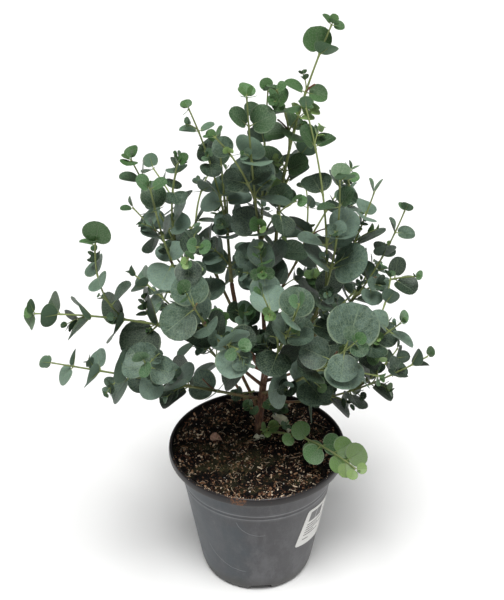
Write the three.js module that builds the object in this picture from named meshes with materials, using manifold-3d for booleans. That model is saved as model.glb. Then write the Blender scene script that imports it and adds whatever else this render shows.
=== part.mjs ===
// A young silver-dollar eucalyptus in its nursery pot, in millimetres, +Z up.
// The origin is at the middle of the pot's underside, where its centre boss meets the table.
// The plant grows out of the soil a little behind the pot's axis. Round leaves sit in opposite
// pairs along each leafy stem, and each pair is turned a quarter turn from the pair below it.
import * as THREE from "three";
import { mergeVertices } from "three/addons/utils/BufferGeometryUtils.js";
import Module from "manifold-3d";

const wasm = await Module();
wasm.setup();

// Pot
const POT_HEIGHT = 160;
const RIM_RADIUS = 95;
const RIM_DEPTH = 9;
const RIM_INNER_RADIUS = 91.5;
const WALL_TOP_RADIUS = 87;
const WALL_LOW_RADIUS = 63;
const WALL_LOW_HEIGHT = 14;
const FOOT_RADIUS = 57;
const FOOT_HEIGHT = 4.5;
const FOOT_WIDTH = 4;
const WALL = 1.6;
const STEP_TOP = 152.8; // the ledge inside the rim
const FLOOR_TOP = 6.5;
const BOSS_RADIUS = 14;
const BAND_DROP = 25; // the raised band under the rim
const BAND_STEP = 0.9;
const POT_SIDES = 32;
const DRAIN_COUNT = 8; // notches through the foot, each with a hole in the floor behind it
const DRAIN_WIDTH = 22;
const DRAIN_HEIGHT = 4.1;
const DRAIN_IN = 46; // radius where the notches end and the holes stand
const DRAIN_HOLE_RADIUS = 3.5;
const DRAIN_TURN = 4; // degrees

// Soil
const SOIL_LEVEL = 155.2;
const SOIL_GAP = 0.35;
const SOIL_RINGS = 5;

// Sticker on the side of the pot
const STICKER_WIDTH = 66;
const STICKER_HEIGHT = 52;
const STICKER_THICK = 0.6;
const STICKER_AZIMUTH = -26; // degrees from +X towards the front
const STICKER_MIDDLE = 82; // height of its middle
const STICKER_LEAN = -9; // degrees that it is stuck on crooked

// Wood and stems
const SEAT_GAP = 0.35;
const WOOD_SIDES = 6;
const STEM_STEP = 42; // length of one straight piece of a bare stem
const TIP_RADIUS = 0.9;
const SHOOT_RADIUS = 1.4;
const SHOOT_BARE = 0.25; // share of a side shoot below its first leaves
const WALK_STEP = 7; // spacing of the points that stand for a stem when leaves are kept clear of it

// Leaves
const LEAF_THICK = 0.7;
const LEAF_WIDTH = 1.12; // of its length
const LEAF_CUP = 0.1; // how far the edges rise, of the length
const LEAF_DROOP = 0.06; // how far the end curls back, of the length
const PETIOLE = 0.08; // of the blade's length, between the stem's skin and the blade
const OPEN_SPREAD = 66; // degrees between an open leaf and the stem above it
const TIP_SPREAD = 40;
const LEAN = 0.6; // how strongly a blade turns its face to the light
const LIGHT_OUT = 0.6; // the light comes from above and from outside the plant
const LIGHT_UP = 0.8;
const STEM_FOOT = [4, 18]; // where the plant stands in the pot
const ROOT_HALF = 0.55; // half the height of a leaf's root on its stem
const TIP_SHRINK = 0.58; // how much shorter the last pair is
const SIZE_LOW = 0.86; // of its own size, the smallest that chance makes a leaf
const SIZE_VARY = 0.24;
const CROWDING = 1.2; // how the pairs close up towards the tip
const SPREAD_VARY = 22; // degrees of chance, as are the next three
const SWING_VARY = 14;
const TWIST_VARY = 26;
const TURN_VARY = 16;
const CLEARANCE = 1.7; // between two blades
const STEM_CLEARANCE = 0.8; // between a blade and a stem's skin
const OWN_CLEARANCE = 0.35; // between a blade's edge and the stem that it grows from
const POT_CLEARANCE = 3;
const NEAR_BASE = 0.32; // of a leaf's length, where it may touch what it grows from
const SMALLEST_LEAF = 7;

// The edge of a blade from one side of its root to the other, as shares of its length along it
// and of its width across it.
const BLADE = [
  [0.14, 0.36],
  [0.53, 0.5],
  [0.94, 0.22],
  [0.94, -0.22],
  [0.53, -0.5],
  [0.14, -0.36],
];
const SMALL_BLADE = [
  [0.3, 0.46],
  [0.92, 0.3],
  [0.92, -0.3],
  [0.3, -0.46],
];
const SMALL_LEAF = 17; // a leaf shorter than this has the plainer edge

// The woody trunk and its forks: start, bend, end, and the radius at both ends.
const WOOD = [
  { from: [2, 18, 112], bend: [0, 18, 190], to: [11, 18, 252], radii: [5.6, 4.2] },
  { from: [10.5, 18, 247], bend: [15, 19, 300], to: [18, 20, 350], radii: [4, 2.9] },
  { from: [9, 18, 238], bend: [-16, 16, 266], to: [-26, 15, 350], radii: [3.3, 2.5] },
  { from: [8, 18, 232], bend: [30, 22, 262], to: [58, 24, 300], radii: [3.2, 2.3] },
  { from: [7, 17, 226], bend: [8, -8, 248], to: [14, -34, 290], radii: [3, 2.2] },
  { from: [9, 19, 236], bend: [9, 48, 262], to: [4, 66, 320], radii: [3, 2.2] },
];

// Each leafy stem: where it starts on the wood, bends and ends, how many pairs it carries, its
// largest leaf, its radius, the bare share at its foot, and the shoots that grow from it.
const STEMS = [
  {
    name: "tall_leader",
    from: [18, 20, 350],
    bend: [14, 23, 477],
    tip: [63, -10, 618],
    pairs: 7,
    leaf: 31,
    radius: 2.5,
    bare: 0.12,
    shoots: [
      { at: 0.35, tip: [52, 30, 500], pairs: 3, leaf: 27 },
      { at: 0.55, tip: [16, -12, 560], pairs: 3, leaf: 24 },
    ],
  },
  {
    name: "centre_tall",
    from: [15, 19, 305],
    bend: [-2, -14, 420],
    tip: [-10, -30, 560],
    pairs: 6,
    leaf: 38,
    radius: 2.2,
    bare: 0.3,
    shoots: [
      { at: 0.18, tip: [4, -62, 404], pairs: 3, leaf: 33 },
      { at: 0.4, tip: [34, -50, 470], pairs: 3, leaf: 29 },
      { at: 0.6, tip: [-38, -42, 528], pairs: 3, leaf: 26 },
    ],
  },
  {
    name: "left_upright",
    from: [-26, 15, 350],
    bend: [-30, 14, 420],
    tip: [-36, 8, 505],
    pairs: 5,
    leaf: 33,
    radius: 2.1,
    bare: 0.1,
    shoots: [
      { at: 0.42, tip: [-62, -10, 542], pairs: 4, leaf: 24 },
      { at: 0.25, tip: [-30, 50, 455], pairs: 3, leaf: 26 },
    ],
  },
  {
    name: "left_long",
    from: [1.5, 18, 190],
    bend: [-50, 24, 318],
    tip: [-112, -45, 508],
    pairs: 8,
    leaf: 34,
    radius: 2.5,
    bare: 0.38,
    shoots: [
      { at: 0.55, tip: [-118, -2, 440], pairs: 3, leaf: 28 },
      { at: 0.72, tip: [-72, -30, 498], pairs: 3, leaf: 27 },
    ],
  },
  {
    name: "left_middle",
    from: [5, 18, 222],
    bend: [-76, -46, 338],
    tip: [-92, -88, 500],
    pairs: 7,
    leaf: 34,
    radius: 2.4,
    bare: 0.36,
    shoots: [{ at: 0.62, tip: [-52, -100, 450], pairs: 3, leaf: 29 }],
  },
  {
    name: "far_left",
    from: [-13, 16.5, 268],
    bend: [-98, -27, 337],
    tip: [-212, -50, 352],
    pairs: 6,
    leaf: 40,
    radius: 2.3,
    bare: 0.3,
    shoots: [{ at: 0.62, tip: [-150, -42, 422], pairs: 3, leaf: 30 }],
  },
  {
    name: "left_low",
    from: [2, 18, 204],
    bend: [-84, -69, 286],
    tip: [-194, -80, 316],
    pairs: 7,
    leaf: 34,
    radius: 2.3,
    bare: 0.24,
    shoots: [{ at: 0.42, tip: [-104, -104, 334], pairs: 4, leaf: 39 }],
  },
  {
    name: "front_left",
    from: [9, -16, 262],
    bend: [-39, -62, 314],
    tip: [-62, -116, 412],
    pairs: 6,
    leaf: 38,
    radius: 2.2,
    bare: 0.22,
    shoots: [{ at: 0.5, tip: [-18, -112, 352], pairs: 3, leaf: 35 }],
  },
  {
    name: "front_centre",
    from: [14, -34, 290],
    bend: [23, -76, 326],
    tip: [36, -116, 402],
    pairs: 5,
    leaf: 37,
    radius: 2,
    bare: 0.1,
    shoots: [{ at: 0.3, tip: [4, -96, 400], pairs: 3, leaf: 32 }],
  },
  {
    name: "front_right",
    from: [7, 14, 214],
    bend: [49, -64, 284],
    tip: [86, -122, 366],
    pairs: 6,
    leaf: 42,
    radius: 2.4,
    bare: 0.3,
    shoots: [{ at: 0.6, tip: [112, -96, 312], pairs: 3, leaf: 28 }],
  },
  {
    name: "right_low",
    from: [2, 18, 203],
    bend: [73, -10, 206],
    tip: [170, -24, 286],
    pairs: 7,
    leaf: 31,
    radius: 2.1,
    bare: 0.34,
    shoots: [{ at: 0.62, tip: [146, 18, 268], pairs: 3, leaf: 25 }],
  },
  {
    name: "right_middle",
    from: [58, 24, 300],
    bend: [92, 22, 368],
    tip: [112, 20, 446],
    pairs: 5,
    leaf: 35,
    radius: 2,
    bare: 0.14,
    shoots: [
      { at: 0.5, tip: [84, -4, 470], pairs: 3, leaf: 26 },
      { at: 0.3, tip: [104, 62, 400], pairs: 3, leaf: 28 },
    ],
  },
  {
    name: "right_upper",
    from: [17, 20, 243],
    bend: [80, -44, 350],
    tip: [72, -54, 492],
    pairs: 6,
    leaf: 39,
    radius: 2.4,
    bare: 0.34,
    shoots: [{ at: 0.55, tip: [42, -26, 548], pairs: 4, leaf: 30 }],
  },
  {
    name: "right_outer",
    from: [30, 21, 262],
    bend: [104, 18, 302],
    tip: [142, 16, 428],
    pairs: 6,
    leaf: 29,
    radius: 1.9,
    bare: 0.34,
    shoots: [
      { at: 0.55, tip: [152, -14, 372], pairs: 3, leaf: 24 },
      { at: 0.45, tip: [118, 48, 352], pairs: 3, leaf: 25 },
    ],
  },
  {
    name: "right_forward",
    from: [10, 12, 232],
    bend: [94, -49, 300],
    tip: [134, -64, 350],
    pairs: 5,
    leaf: 33,
    radius: 2,
    bare: 0.42,
    shoots: [{ at: 0.66, tip: [128, -20, 374], pairs: 3, leaf: 24 }],
  },
  {
    name: "front_low",
    from: [2, 18, 157],
    bend: [46, -30, 205],
    tip: [98, -82, 190],
    pairs: 6,
    leaf: 24,
    radius: 1.7,
    bare: 0.4,
    shoots: [],
  },
  {
    name: "back_left",
    from: [-20.5, 16, 305],
    bend: [-60, 60, 380],
    tip: [-108, 112, 430],
    pairs: 6,
    leaf: 37,
    radius: 2.1,
    bare: 0.2,
    shoots: [{ at: 0.5, tip: [-48, 104, 432], pairs: 3, leaf: 28 }],
  },
  {
    name: "back_right",
    from: [8, 52, 284],
    bend: [50, 90, 350],
    tip: [98, 120, 424],
    pairs: 6,
    leaf: 37,
    radius: 2,
    bare: 0.2,
    shoots: [{ at: 0.45, tip: [52, 132, 400], pairs: 3, leaf: 28 }],
  },
  {
    name: "back_tall",
    from: [4, 66, 320],
    bend: [4, 84, 430],
    tip: [10, 74, 528],
    pairs: 6,
    leaf: 36,
    radius: 2,
    bare: 0.14,
    shoots: [{ at: 0.4, tip: [46, 70, 470], pairs: 3, leaf: 28 }],
  },
  {
    name: "back_low_left",
    from: [1, 18, 176],
    bend: [-60, 75, 262],
    tip: [-132, 104, 306],
    pairs: 6,
    leaf: 38,
    radius: 2.1,
    bare: 0.34,
    shoots: [{ at: 0.6, tip: [-74, 128, 292], pairs: 3, leaf: 30 }],
  },
  {
    name: "back_low_right",
    from: [1, 18, 191],
    bend: [66, 80, 262],
    tip: [132, 106, 312],
    pairs: 6,
    leaf: 38,
    radius: 2.1,
    bare: 0.34,
    shoots: [{ at: 0.55, tip: [66, 138, 300], pairs: 3, leaf: 30 }],
  },
];

const rad = THREE.MathUtils.degToRad;
const vec = (p) => new THREE.Vector3(...p);
const UP = new THREE.Vector3(0, 0, 1);
const ACROSS = new THREE.Vector3(0, 1, 0);

// Seeded draws between 0 and 1.
function draws(seed) {
  let state = seed;
  return () => {
    state = (state * 16807) % 2147483647;
    return state / 2147483647;
  };
}

// Solids and meshes

function solid(geometry) {
  const bare = geometry.clone();
  bare.deleteAttribute("normal");
  bare.deleteAttribute("uv");
  const merged = mergeVertices(bare, 1e-4);
  return new wasm.Manifold(
    new wasm.Mesh({
      numProp: 3,
      vertProperties: new Float32Array(merged.attributes.position.array),
      triVerts: new Uint32Array(merged.index.array),
    }),
  );
}

function geometryOf(body) {
  const mesh = body.getMesh();
  const geometry = new THREE.BufferGeometry();
  geometry.setAttribute("position", new THREE.BufferAttribute(mesh.vertProperties, mesh.numProp));
  geometry.setIndex(new THREE.BufferAttribute(mesh.triVerts, 1));
  geometry.computeVertexNormals();
  return geometry;
}

const joined = (bodies) => bodies.reduce((whole, body) => whole.add(body));

function named(name, body, material) {
  const mesh = new THREE.Mesh(geometryOf(body), material);
  mesh.name = name;
  return mesh;
}

// A closed skin over rings of points that all have the same number of points.
function skin(rings) {
  const around = rings[0].length;
  const points = rings.flat();
  const faces = [];
  for (let i = 0; i + 1 < rings.length; i++) {
    for (let j = 0; j < around; j++) {
      const a = i * around + j;
      const b = i * around + ((j + 1) % around);
      faces.push(a, b, a + around, b, b + around, a + around);
    }
  }
  const last = (rings.length - 1) * around;
  for (let j = 1; j + 1 < around; j++) {
    faces.push(0, j + 1, j, last, last + j, last + j + 1);
  }
  const geometry = new THREE.BufferGeometry();
  geometry.setAttribute(
    "position",
    new THREE.Float32BufferAttribute(points.flatMap((p) => p.toArray()), 3),
  );
  geometry.setIndex(faces);
  return geometry;
}

// Pot

function potProfile() {
  const bandLow = POT_HEIGHT - RIM_DEPTH - BAND_DROP;
  const fall = (z) =>
    THREE.MathUtils.mapLinear(z, WALL_LOW_HEIGHT, POT_HEIGHT, WALL_LOW_RADIUS, WALL_TOP_RADIUS);
  const outside = [
    [0, 0],
    [BOSS_RADIUS, 0],
    [BOSS_RADIUS, FOOT_HEIGHT],
    [FOOT_RADIUS - FOOT_WIDTH, FOOT_HEIGHT],
    [FOOT_RADIUS - FOOT_WIDTH, 0],
    [FOOT_RADIUS, 0],
    [FOOT_RADIUS + 3.2, FOOT_HEIGHT],
    [WALL_LOW_RADIUS, WALL_LOW_HEIGHT],
    [fall(bandLow), bandLow],
    [fall(bandLow) + BAND_STEP, bandLow + 1],
    [fall(POT_HEIGHT - RIM_DEPTH) + BAND_STEP, POT_HEIGHT - RIM_DEPTH],
    [RIM_RADIUS - 1, POT_HEIGHT - RIM_DEPTH],
    [RIM_RADIUS, POT_HEIGHT - RIM_DEPTH + 2],
    [RIM_RADIUS - 0.4, POT_HEIGHT - 1.4],
    [RIM_RADIUS - 1.6, POT_HEIGHT],
  ];
  const inside = [
    [RIM_INNER_RADIUS, POT_HEIGHT - 0.6],
    [RIM_INNER_RADIUS, STEP_TOP],
    [fall(STEP_TOP) - WALL, STEP_TOP],
    [WALL_LOW_RADIUS - WALL, WALL_LOW_HEIGHT],
    [WALL_LOW_RADIUS - WALL - 3, FLOOR_TOP],
    [0, FLOOR_TOP],
  ];
  return { outside, inside };
}

function turned(points, sides) {
  const geometry = new THREE.LatheGeometry(points.map(([r, z]) => new THREE.Vector2(r, z)), sides);
  return geometry.rotateX(Math.PI / 2);
}

function makePot(material) {
  const { outside, inside } = potProfile();
  let pot = solid(turned([...outside, ...inside], POT_SIDES));
  for (let k = 0; k < DRAIN_COUNT; k++) {
    const angle = -Math.PI / 2 + (k * 2 * Math.PI) / DRAIN_COUNT + rad(DRAIN_TURN);
    const reach = 2 * (WALL_LOW_RADIUS - DRAIN_IN);
    const notch = new THREE.BoxGeometry(reach, DRAIN_WIDTH, 2 * DRAIN_HEIGHT);
    notch.translate(WALL_LOW_RADIUS, 0, 0).rotateZ(angle);
    const hole = new THREE.CylinderGeometry(DRAIN_HOLE_RADIUS, DRAIN_HOLE_RADIUS, 2 * FLOOR_TOP, 8);
    hole.rotateX(Math.PI / 2).translate(DRAIN_IN, 0, FLOOR_TOP).rotateZ(angle);
    pot = pot.subtract(solid(notch)).subtract(solid(hole));
  }
  return named("pot", pot, material);
}

// Soil: fills the pot, and its top is uneven by a sum of waves.

function soilBumps(x, y) {
  const wave = Math.sin(0.085 * x + 1) * Math.cos(0.07 * y) + 0.5 * Math.sin(0.19 * x - 0.16 * y);
  const fade = 1 - (Math.hypot(x, y) / RIM_INNER_RADIUS) ** 4;
  return 1.2 * wave * fade;
}

function makeSoil(woodRoom, material) {
  const { inside } = potProfile();
  const [, , [wallTop], [wallLow]] = inside;
  const collar = RIM_INNER_RADIUS - SOIL_GAP;
  const profile = [
    [0, FLOOR_TOP + SOIL_GAP],
    [wallLow - SOIL_GAP - 4, FLOOR_TOP + SOIL_GAP],
    [wallLow - SOIL_GAP, WALL_LOW_HEIGHT + 1],
    [wallTop - SOIL_GAP, STEP_TOP + SOIL_GAP],
    [collar, STEP_TOP + SOIL_GAP],
  ];
  for (let i = 0; i <= SOIL_RINGS; i++) {
    profile.push([(collar * (SOIL_RINGS - i)) / SOIL_RINGS, SOIL_LEVEL]);
  }
  const geometry = turned(profile, POT_SIDES);
  const place = geometry.attributes.position;
  for (let i = 0; i < place.count; i++) {
    if (place.getZ(i) === SOIL_LEVEL) {
      place.setZ(i, SOIL_LEVEL + soilBumps(place.getX(i), place.getY(i)));
    }
  }
  return named("soil", solid(geometry).subtract(woodRoom), material);
}

// Sticker: a thin plate wrapped round the sloping wall.

function makeSticker(material) {
  const plate = new THREE.BoxGeometry(STICKER_WIDTH, STICKER_HEIGHT, STICKER_THICK, 8, 2, 1);
  const place = plate.attributes.position;
  const slope = (WALL_TOP_RADIUS - WALL_LOW_RADIUS) / (POT_HEIGHT - WALL_LOW_HEIGHT);
  const lean = rad(STICKER_LEAN);
  for (let i = 0; i < place.count; i++) {
    const along = place.getX(i) * Math.cos(lean) - place.getY(i) * Math.sin(lean);
    const up = place.getX(i) * Math.sin(lean) + place.getY(i) * Math.cos(lean);
    const z = STICKER_MIDDLE + up;
    const wall = WALL_LOW_RADIUS + slope * (z - WALL_LOW_HEIGHT);
    const angle = rad(STICKER_AZIMUTH) + along / wall;
    const r = wall + SEAT_GAP + STICKER_THICK / 2 + place.getZ(i);
    place.setXYZ(i, r * Math.cos(angle), r * Math.sin(angle), z);
  }
  return named("sticker", solid(plate), material);
}

// Stems

// A stem is a curve through its start, its bend and its tip.
const curveOf = (from, bend, tip) => new THREE.QuadraticBezierCurve3(from, bend, tip);

// Corners of the ring across a curve at t, turned by an angle round the curve.
function ringAt(curve, t, radius, sides, turn) {
  const { tangent, first, second } = framesAt(curve, t);
  const middle = curve.getPoint(t);
  return Array.from({ length: sides }, (_, j) => {
    const a = turn + (2 * Math.PI * (j - 0.5)) / sides;
    return middle
      .clone()
      .addScaledVector(first, radius * Math.cos(a))
      .addScaledVector(second, radius * Math.sin(a));
  });
}

// The tangent at t and two directions across it.
function framesAt(curve, t) {
  const tangent = curve.getTangent(t);
  const first = sideways(curve).clone().cross(tangent).normalize();
  return { tangent, first, second: tangent.clone().cross(first) };
}

// A length of wood, or the same wood grown on all sides to cut its seats.
function woodTube({ from, bend, to, radii }, grow) {
  const curve = curveOf(vec(from), vec(bend), vec(to));
  const steps = Math.max(2, Math.ceil(curve.getLength() / STEM_STEP));
  const rings = [];
  for (let i = 0; i <= steps; i++) {
    const radius = THREE.MathUtils.lerp(radii[0], radii[1], i / steps);
    const grown = radius + grow / Math.cos(Math.PI / WOOD_SIDES);
    const ring = ringAt(curve, i / steps, grown, WOOD_SIDES, 0);
    if (i === 0) ring.forEach((p) => p.addScaledVector(curve.getTangent(0), -grow));
    if (i === steps) ring.forEach((p) => p.addScaledVector(curve.getTangent(1), grow));
    rings.push(ring);
  }
  return solid(skin(rings));
}

// The reference that pairs of leaves are turned from: up, or across where the stem is upright.
function sideways(curve) {
  const chord = curve.v2.clone().sub(curve.v0).normalize();
  return Math.abs(chord.z) < 0.75 ? UP : ACROSS;
}

// Points along a stem, which leaves are kept clear of.
function walk(curve) {
  const steps = Math.max(3, Math.ceil(curve.v0.distanceTo(curve.v2) / WALK_STEP));
  return Array.from({ length: steps + 1 }, (_, i) => curve.getPoint(i / steps));
}

function allShoots() {
  const found = [];
  STEMS.forEach((stem, number) => {
    const main = curveOf(vec(stem.from), vec(stem.bend), vec(stem.tip));
    found.push({
      owner: stem.name,
      curve: main,
      pairs: stem.pairs,
      leaf: stem.leaf,
      bare: stem.bare,
      radii: [stem.radius, TIP_RADIUS],
      seed: 101 + 37 * number,
    });
    stem.shoots.forEach((shoot, k) => {
      const from = main.getPoint(shoot.at);
      const tip = vec(shoot.tip);
      const reach = from.distanceTo(tip);
      const out = tip.clone().sub(from).normalize();
      const bend = from
        .clone()
        .addScaledVector(out, 0.3 * reach)
        .addScaledVector(main.getTangent(shoot.at), 0.25 * reach);
      found.push({
        owner: stem.name,
        curve: curveOf(from, bend, tip),
        pairs: shoot.pairs,
        leaf: shoot.leaf,
        bare: SHOOT_BARE,
        radii: [SHOOT_RADIUS, TIP_RADIUS],
        seed: 4001 + 37 * number + 11 * k,
      });
    });
  });
  return found;
}

// Leaves

// A leaf's own axes: along it, across it, and out of its upper face, which leans to the light.
function leafAxes(base, tangent, outward, spread, twist) {
  const along = tangent
    .clone()
    .multiplyScalar(Math.cos(spread))
    .addScaledVector(outward, Math.sin(spread));
  const out = new THREE.Vector3(base.x - STEM_FOOT[0], base.y - STEM_FOOT[1], 0).normalize();
  const light = out.multiplyScalar(LIGHT_OUT).addScaledVector(UP, LIGHT_UP);
  light.addScaledVector(along, -light.dot(along));
  const flat = tangent
    .clone()
    .multiplyScalar(Math.sin(spread))
    .addScaledVector(outward, -Math.cos(spread))
    .addScaledVector(light, LEAN)
    .normalize();
  const side = flat.clone().cross(along);
  const face = flat.clone().multiplyScalar(Math.cos(twist)).addScaledVector(side, Math.sin(twist));
  return { along, face, across: face.clone().cross(along) };
}

// Where the point of a blade lies: the edges rise into a cup and the end curls back.
function bladePoint(leaf, u, w, lift = 0) {
  const rise = leaf.size * (LEAF_CUP * 4 * w * w - LEAF_DROOP * u * u);
  return leaf.base
    .clone()
    .addScaledVector(leaf.along, leaf.petiole + u * leaf.size)
    .addScaledVector(leaf.across, w * LEAF_WIDTH * leaf.size)
    .addScaledVector(leaf.face, rise + lift);
}

function makeLeaf(base, radius, axes, size) {
  const leaf = { base, size, petiole: radius + PETIOLE * size, ...axes };
  leaf.middle = bladePoint(leaf, 0.5, 0.2).add(bladePoint(leaf, 0.5, -0.2)).multiplyScalar(0.5);
  leaf.radius = 0.52 * size;
  leaf.ring = [base, ...BLADE.map(([u, w]) => bladePoint(leaf, u, w)), base];
  return leaf;
}

// Whether a line of points comes nearer than a gap to the disc of a leaf, or passes through it.
function meets(line, leaf, gap, spare) {
  let before = null;
  for (const point of line) {
    if (spare(point)) {
      before = null;
      continue;
    }
    const offset = point.clone().sub(leaf.middle);
    const height = offset.dot(leaf.face);
    const reach = Math.sqrt(Math.max(0, offset.lengthSq() - height * height));
    if (Math.abs(height) < gap && reach < leaf.radius + gap) return true;
    if (before && before.height * height < 0) {
      const share = before.height / (before.height - height);
      const crossing = before.point.clone().lerp(point, share).sub(leaf.middle);
      if (crossing.length() < leaf.radius + gap) return true;
    }
    before = { point, height };
  }
  return false;
}

function inPot(point) {
  const r = Math.hypot(point.x, point.y);
  return r < RIM_RADIUS + POT_CLEARANCE && point.z < POT_HEIGHT + POT_CLEARANCE;
}

// Whether the whole edge of a blade lies outside the side of the stem that it grows from.
function standsOff(leaf, facing, radius) {
  return leaf.ring
    .slice(1, -1)
    .every((p) => p.clone().sub(leaf.base).dot(facing) > radius + OWN_CLEARANCE);
}

function isClear(leaf, placed, lines) {
  if (leaf.ring.some(inPot)) return false;
  const nearMine = (p) => p.distanceTo(leaf.base) < NEAR_BASE * leaf.size;
  for (const line of lines) {
    if (line.middle.distanceTo(leaf.middle) > line.reach + leaf.radius + 12) continue;
    if (meets(line.points, leaf, line.radius + STEM_CLEARANCE, nearMine)) return false;
  }
  for (const other of placed) {
    if (other.middle.distanceTo(leaf.middle) > other.radius + leaf.radius + 4) continue;
    const nearTheirs = (p) => p.distanceTo(other.base) < NEAR_BASE * other.size;
    if (meets(other.ring, leaf, CLEARANCE, nearMine)) return false;
    if (meets(leaf.ring, other, CLEARANCE, nearTheirs)) return false;
  }
  return true;
}

// The ways a leaf bends when its first place isn't clear: spread, swing round the stem, twist
// about its own line, all in degrees, and its size as a share.
const BENDS = [
  [0, 0, 0, 1],
  [-16, 0, 0, 1],
  [14, 0, 0, 1],
  [0, 20, 0, 1],
  [0, -20, 0, 1],
  [-10, 24, 18, 0.94],
  [-10, -24, -18, 0.94],
  [-28, 0, 0, 0.9],
  [22, 12, -15, 0.9],
  [10, 36, 0, 0.85],
  [10, -36, 0, 0.85],
  [-20, 30, 30, 0.78],
  [-20, -30, -30, 0.78],
  [0, 0, 40, 0.7],
  [0, 0, -40, 0.7],
  [-30, 45, 0, 0.62],
  [-30, -45, 0, 0.62],
];

// The points that stand for a stem or a length of wood when leaves are kept clear of it.
function lineOf(curve, radius) {
  const points = walk(curve);
  const middle = points[0].clone().add(points[points.length - 1]).multiplyScalar(0.5);
  const reach = Math.max(...points.map((p) => p.distanceTo(middle)));
  return { points, middle, reach, radius };
}

// Gives each shoot its stations: the place of each pair, its turn and its two leaves.
function growLeaves(shoots) {
  const lines = shoots.map((shoot) => lineOf(shoot.curve, shoot.radii[0]));
  for (const { from, bend, to, radii } of WOOD) {
    lines.push(lineOf(curveOf(vec(from), vec(bend), vec(to)), radii[0]));
  }
  const placed = [];
  for (const shoot of shoots) {
    const draw = draws(shoot.seed);
    const turn = draw() * Math.PI;
    const last = 1 - ROOT_HALF / shoot.curve.getLength();
    shoot.stations = [];
    for (let k = 0; k < shoot.pairs; k++) {
      const share = shoot.pairs > 1 ? k / (shoot.pairs - 1) : 1;
      const t = shoot.bare + (last - shoot.bare) * (1 - (1 - share) ** CROWDING);
      const base = shoot.curve.getPoint(t);
      const radius = THREE.MathUtils.lerp(shoot.radii[0], shoot.radii[1], t);
      const station = { t, turn: turn + rad(TURN_VARY) * (draw() - 0.5), leaves: [] };
      const full = shoot.leaf * (1 - TIP_SHRINK * share ** 2.4);
      const size = full * (SIZE_LOW + SIZE_VARY * draw());
      const open = THREE.MathUtils.lerp(OPEN_SPREAD, TIP_SPREAD, share ** 2.5);
      for (const side of [k % 4, (k + 2) % 4]) {
        const spread = open + SPREAD_VARY * (draw() - 0.5);
        const swing = SWING_VARY * (draw() - 0.5);
        const twist = TWIST_VARY * (draw() - 0.5);
        const { tangent, first, second } = framesAt(shoot.curve, t);
        const round = (angle) =>
          first.clone().multiplyScalar(Math.cos(angle)).addScaledVector(second, Math.sin(angle));
        const straight = station.turn + (side * Math.PI) / 2;
        const facing = round(straight);
        for (const [dSpread, dSwing, dTwist, shrink] of BENDS) {
          if (size * shrink < SMALLEST_LEAF) continue;
          const outward = round(straight + rad(swing + dSwing));
          const axes = leafAxes(base, tangent, outward, rad(spread + dSpread), rad(twist + dTwist));
          const leaf = makeLeaf(base, radius, axes, size * shrink);
          if (!standsOff(leaf, facing, radius)) continue;
          if (!isClear(leaf, placed, lines)) continue;
          placed.push(leaf);
          station.leaves[side] = leaf;
          break;
        }
      }
      shoot.stations.push(station);
    }
  }
}

// A stem and its leaves in one skin. The stem has four sides, and at each pair two opposite
// sides open into blades.
function leafyTube({ curve, radii, bare, stations }) {
  const half = ROOT_HALF / curve.getLength();
  const rings = [];
  const addRing = (t, turn, leaves = []) => {
    const radius = THREE.MathUtils.lerp(radii[0], radii[1], t);
    rings.push({ corners: ringAt(curve, t, radius, 4, turn), leaves });
  };
  const feet = Math.max(1, Math.ceil((bare * curve.getLength()) / STEM_STEP));
  for (let i = 0; i < feet; i++) addRing((bare * i) / feet, stations[0].turn);
  for (const { t, turn, leaves } of stations) {
    addRing(t - half, turn, leaves);
    addRing(t + half, turn);
  }
  const points = rings.flatMap((ring) => ring.corners);
  const faces = [];
  const quad = (a, b, c, d) => faces.push(a, b, c, a, c, d);
  for (let i = 0; i + 1 < rings.length; i++) {
    for (let j = 0; j < 4; j++) {
      const a = 4 * i + j;
      const b = 4 * i + ((j + 1) % 4);
      const leaf = rings[i].leaves[j];
      if (leaf) openBlade(leaf, [a, b, b + 4, a + 4], points, faces);
      else quad(a, b, b + 4, a + 4);
    }
  }
  const tip = 4 * (rings.length - 1);
  quad(0, 3, 2, 1);
  quad(tip, tip + 1, tip + 2, tip + 3);
  const geometry = new THREE.BufferGeometry();
  const flat = points.flatMap((p) => p.toArray());
  geometry.setAttribute("position", new THREE.Float32BufferAttribute(flat, 3));
  geometry.setIndex(faces);
  return solid(geometry);
}

// Grows a blade from the four corners of its root, the lower two first. Both faces are split
// alike, in strips across the blade.
function openBlade(leaf, [a, b, c, d], points, faces) {
  const edge = leaf.size < SMALL_LEAF ? SMALL_BLADE : BLADE;
  const low = points.length;
  const up = low + edge.length;
  for (const lift of [-LEAF_THICK / 2, LEAF_THICK / 2]) {
    edge.forEach(([u, w]) => points.push(bladePoint(leaf, u, w, lift)));
  }
  const under = [a, b, ...edge.map((_, i) => low + i)];
  const over = [d, c, ...edge.map((_, i) => up + i)];
  const n = under.length;
  for (let i = 0; 2 * i + 3 < n; i++) {
    const left = i === 0 ? 0 : n - i;
    const nextLeft = n - 1 - i;
    faces.push(under[left], under[1 + i], under[2 + i]);
    faces.push(under[left], under[2 + i], under[nextLeft]);
    faces.push(over[left], over[2 + i], over[1 + i]);
    faces.push(over[left], over[nextLeft], over[2 + i]);
  }
  for (let i = 1; i < n; i++) {
    const next = (i + 1) % n;
    faces.push(under[next], under[i], over[i], under[next], over[i], over[next]);
  }
}

// The largest body that a cut leaves. The rest are crumbs on the far side of the wood.
function mainBody(body) {
  return body.decompose().reduce((best, one) => (one.volume() > best.volume() ? one : best));
}

function makeLeafyStem(name, shoots, woodRoom, material) {
  return named(name, mainBody(joined(shoots.map(leafyTube)).subtract(woodRoom)), material);
}

// The whole plant in its pot

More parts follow.
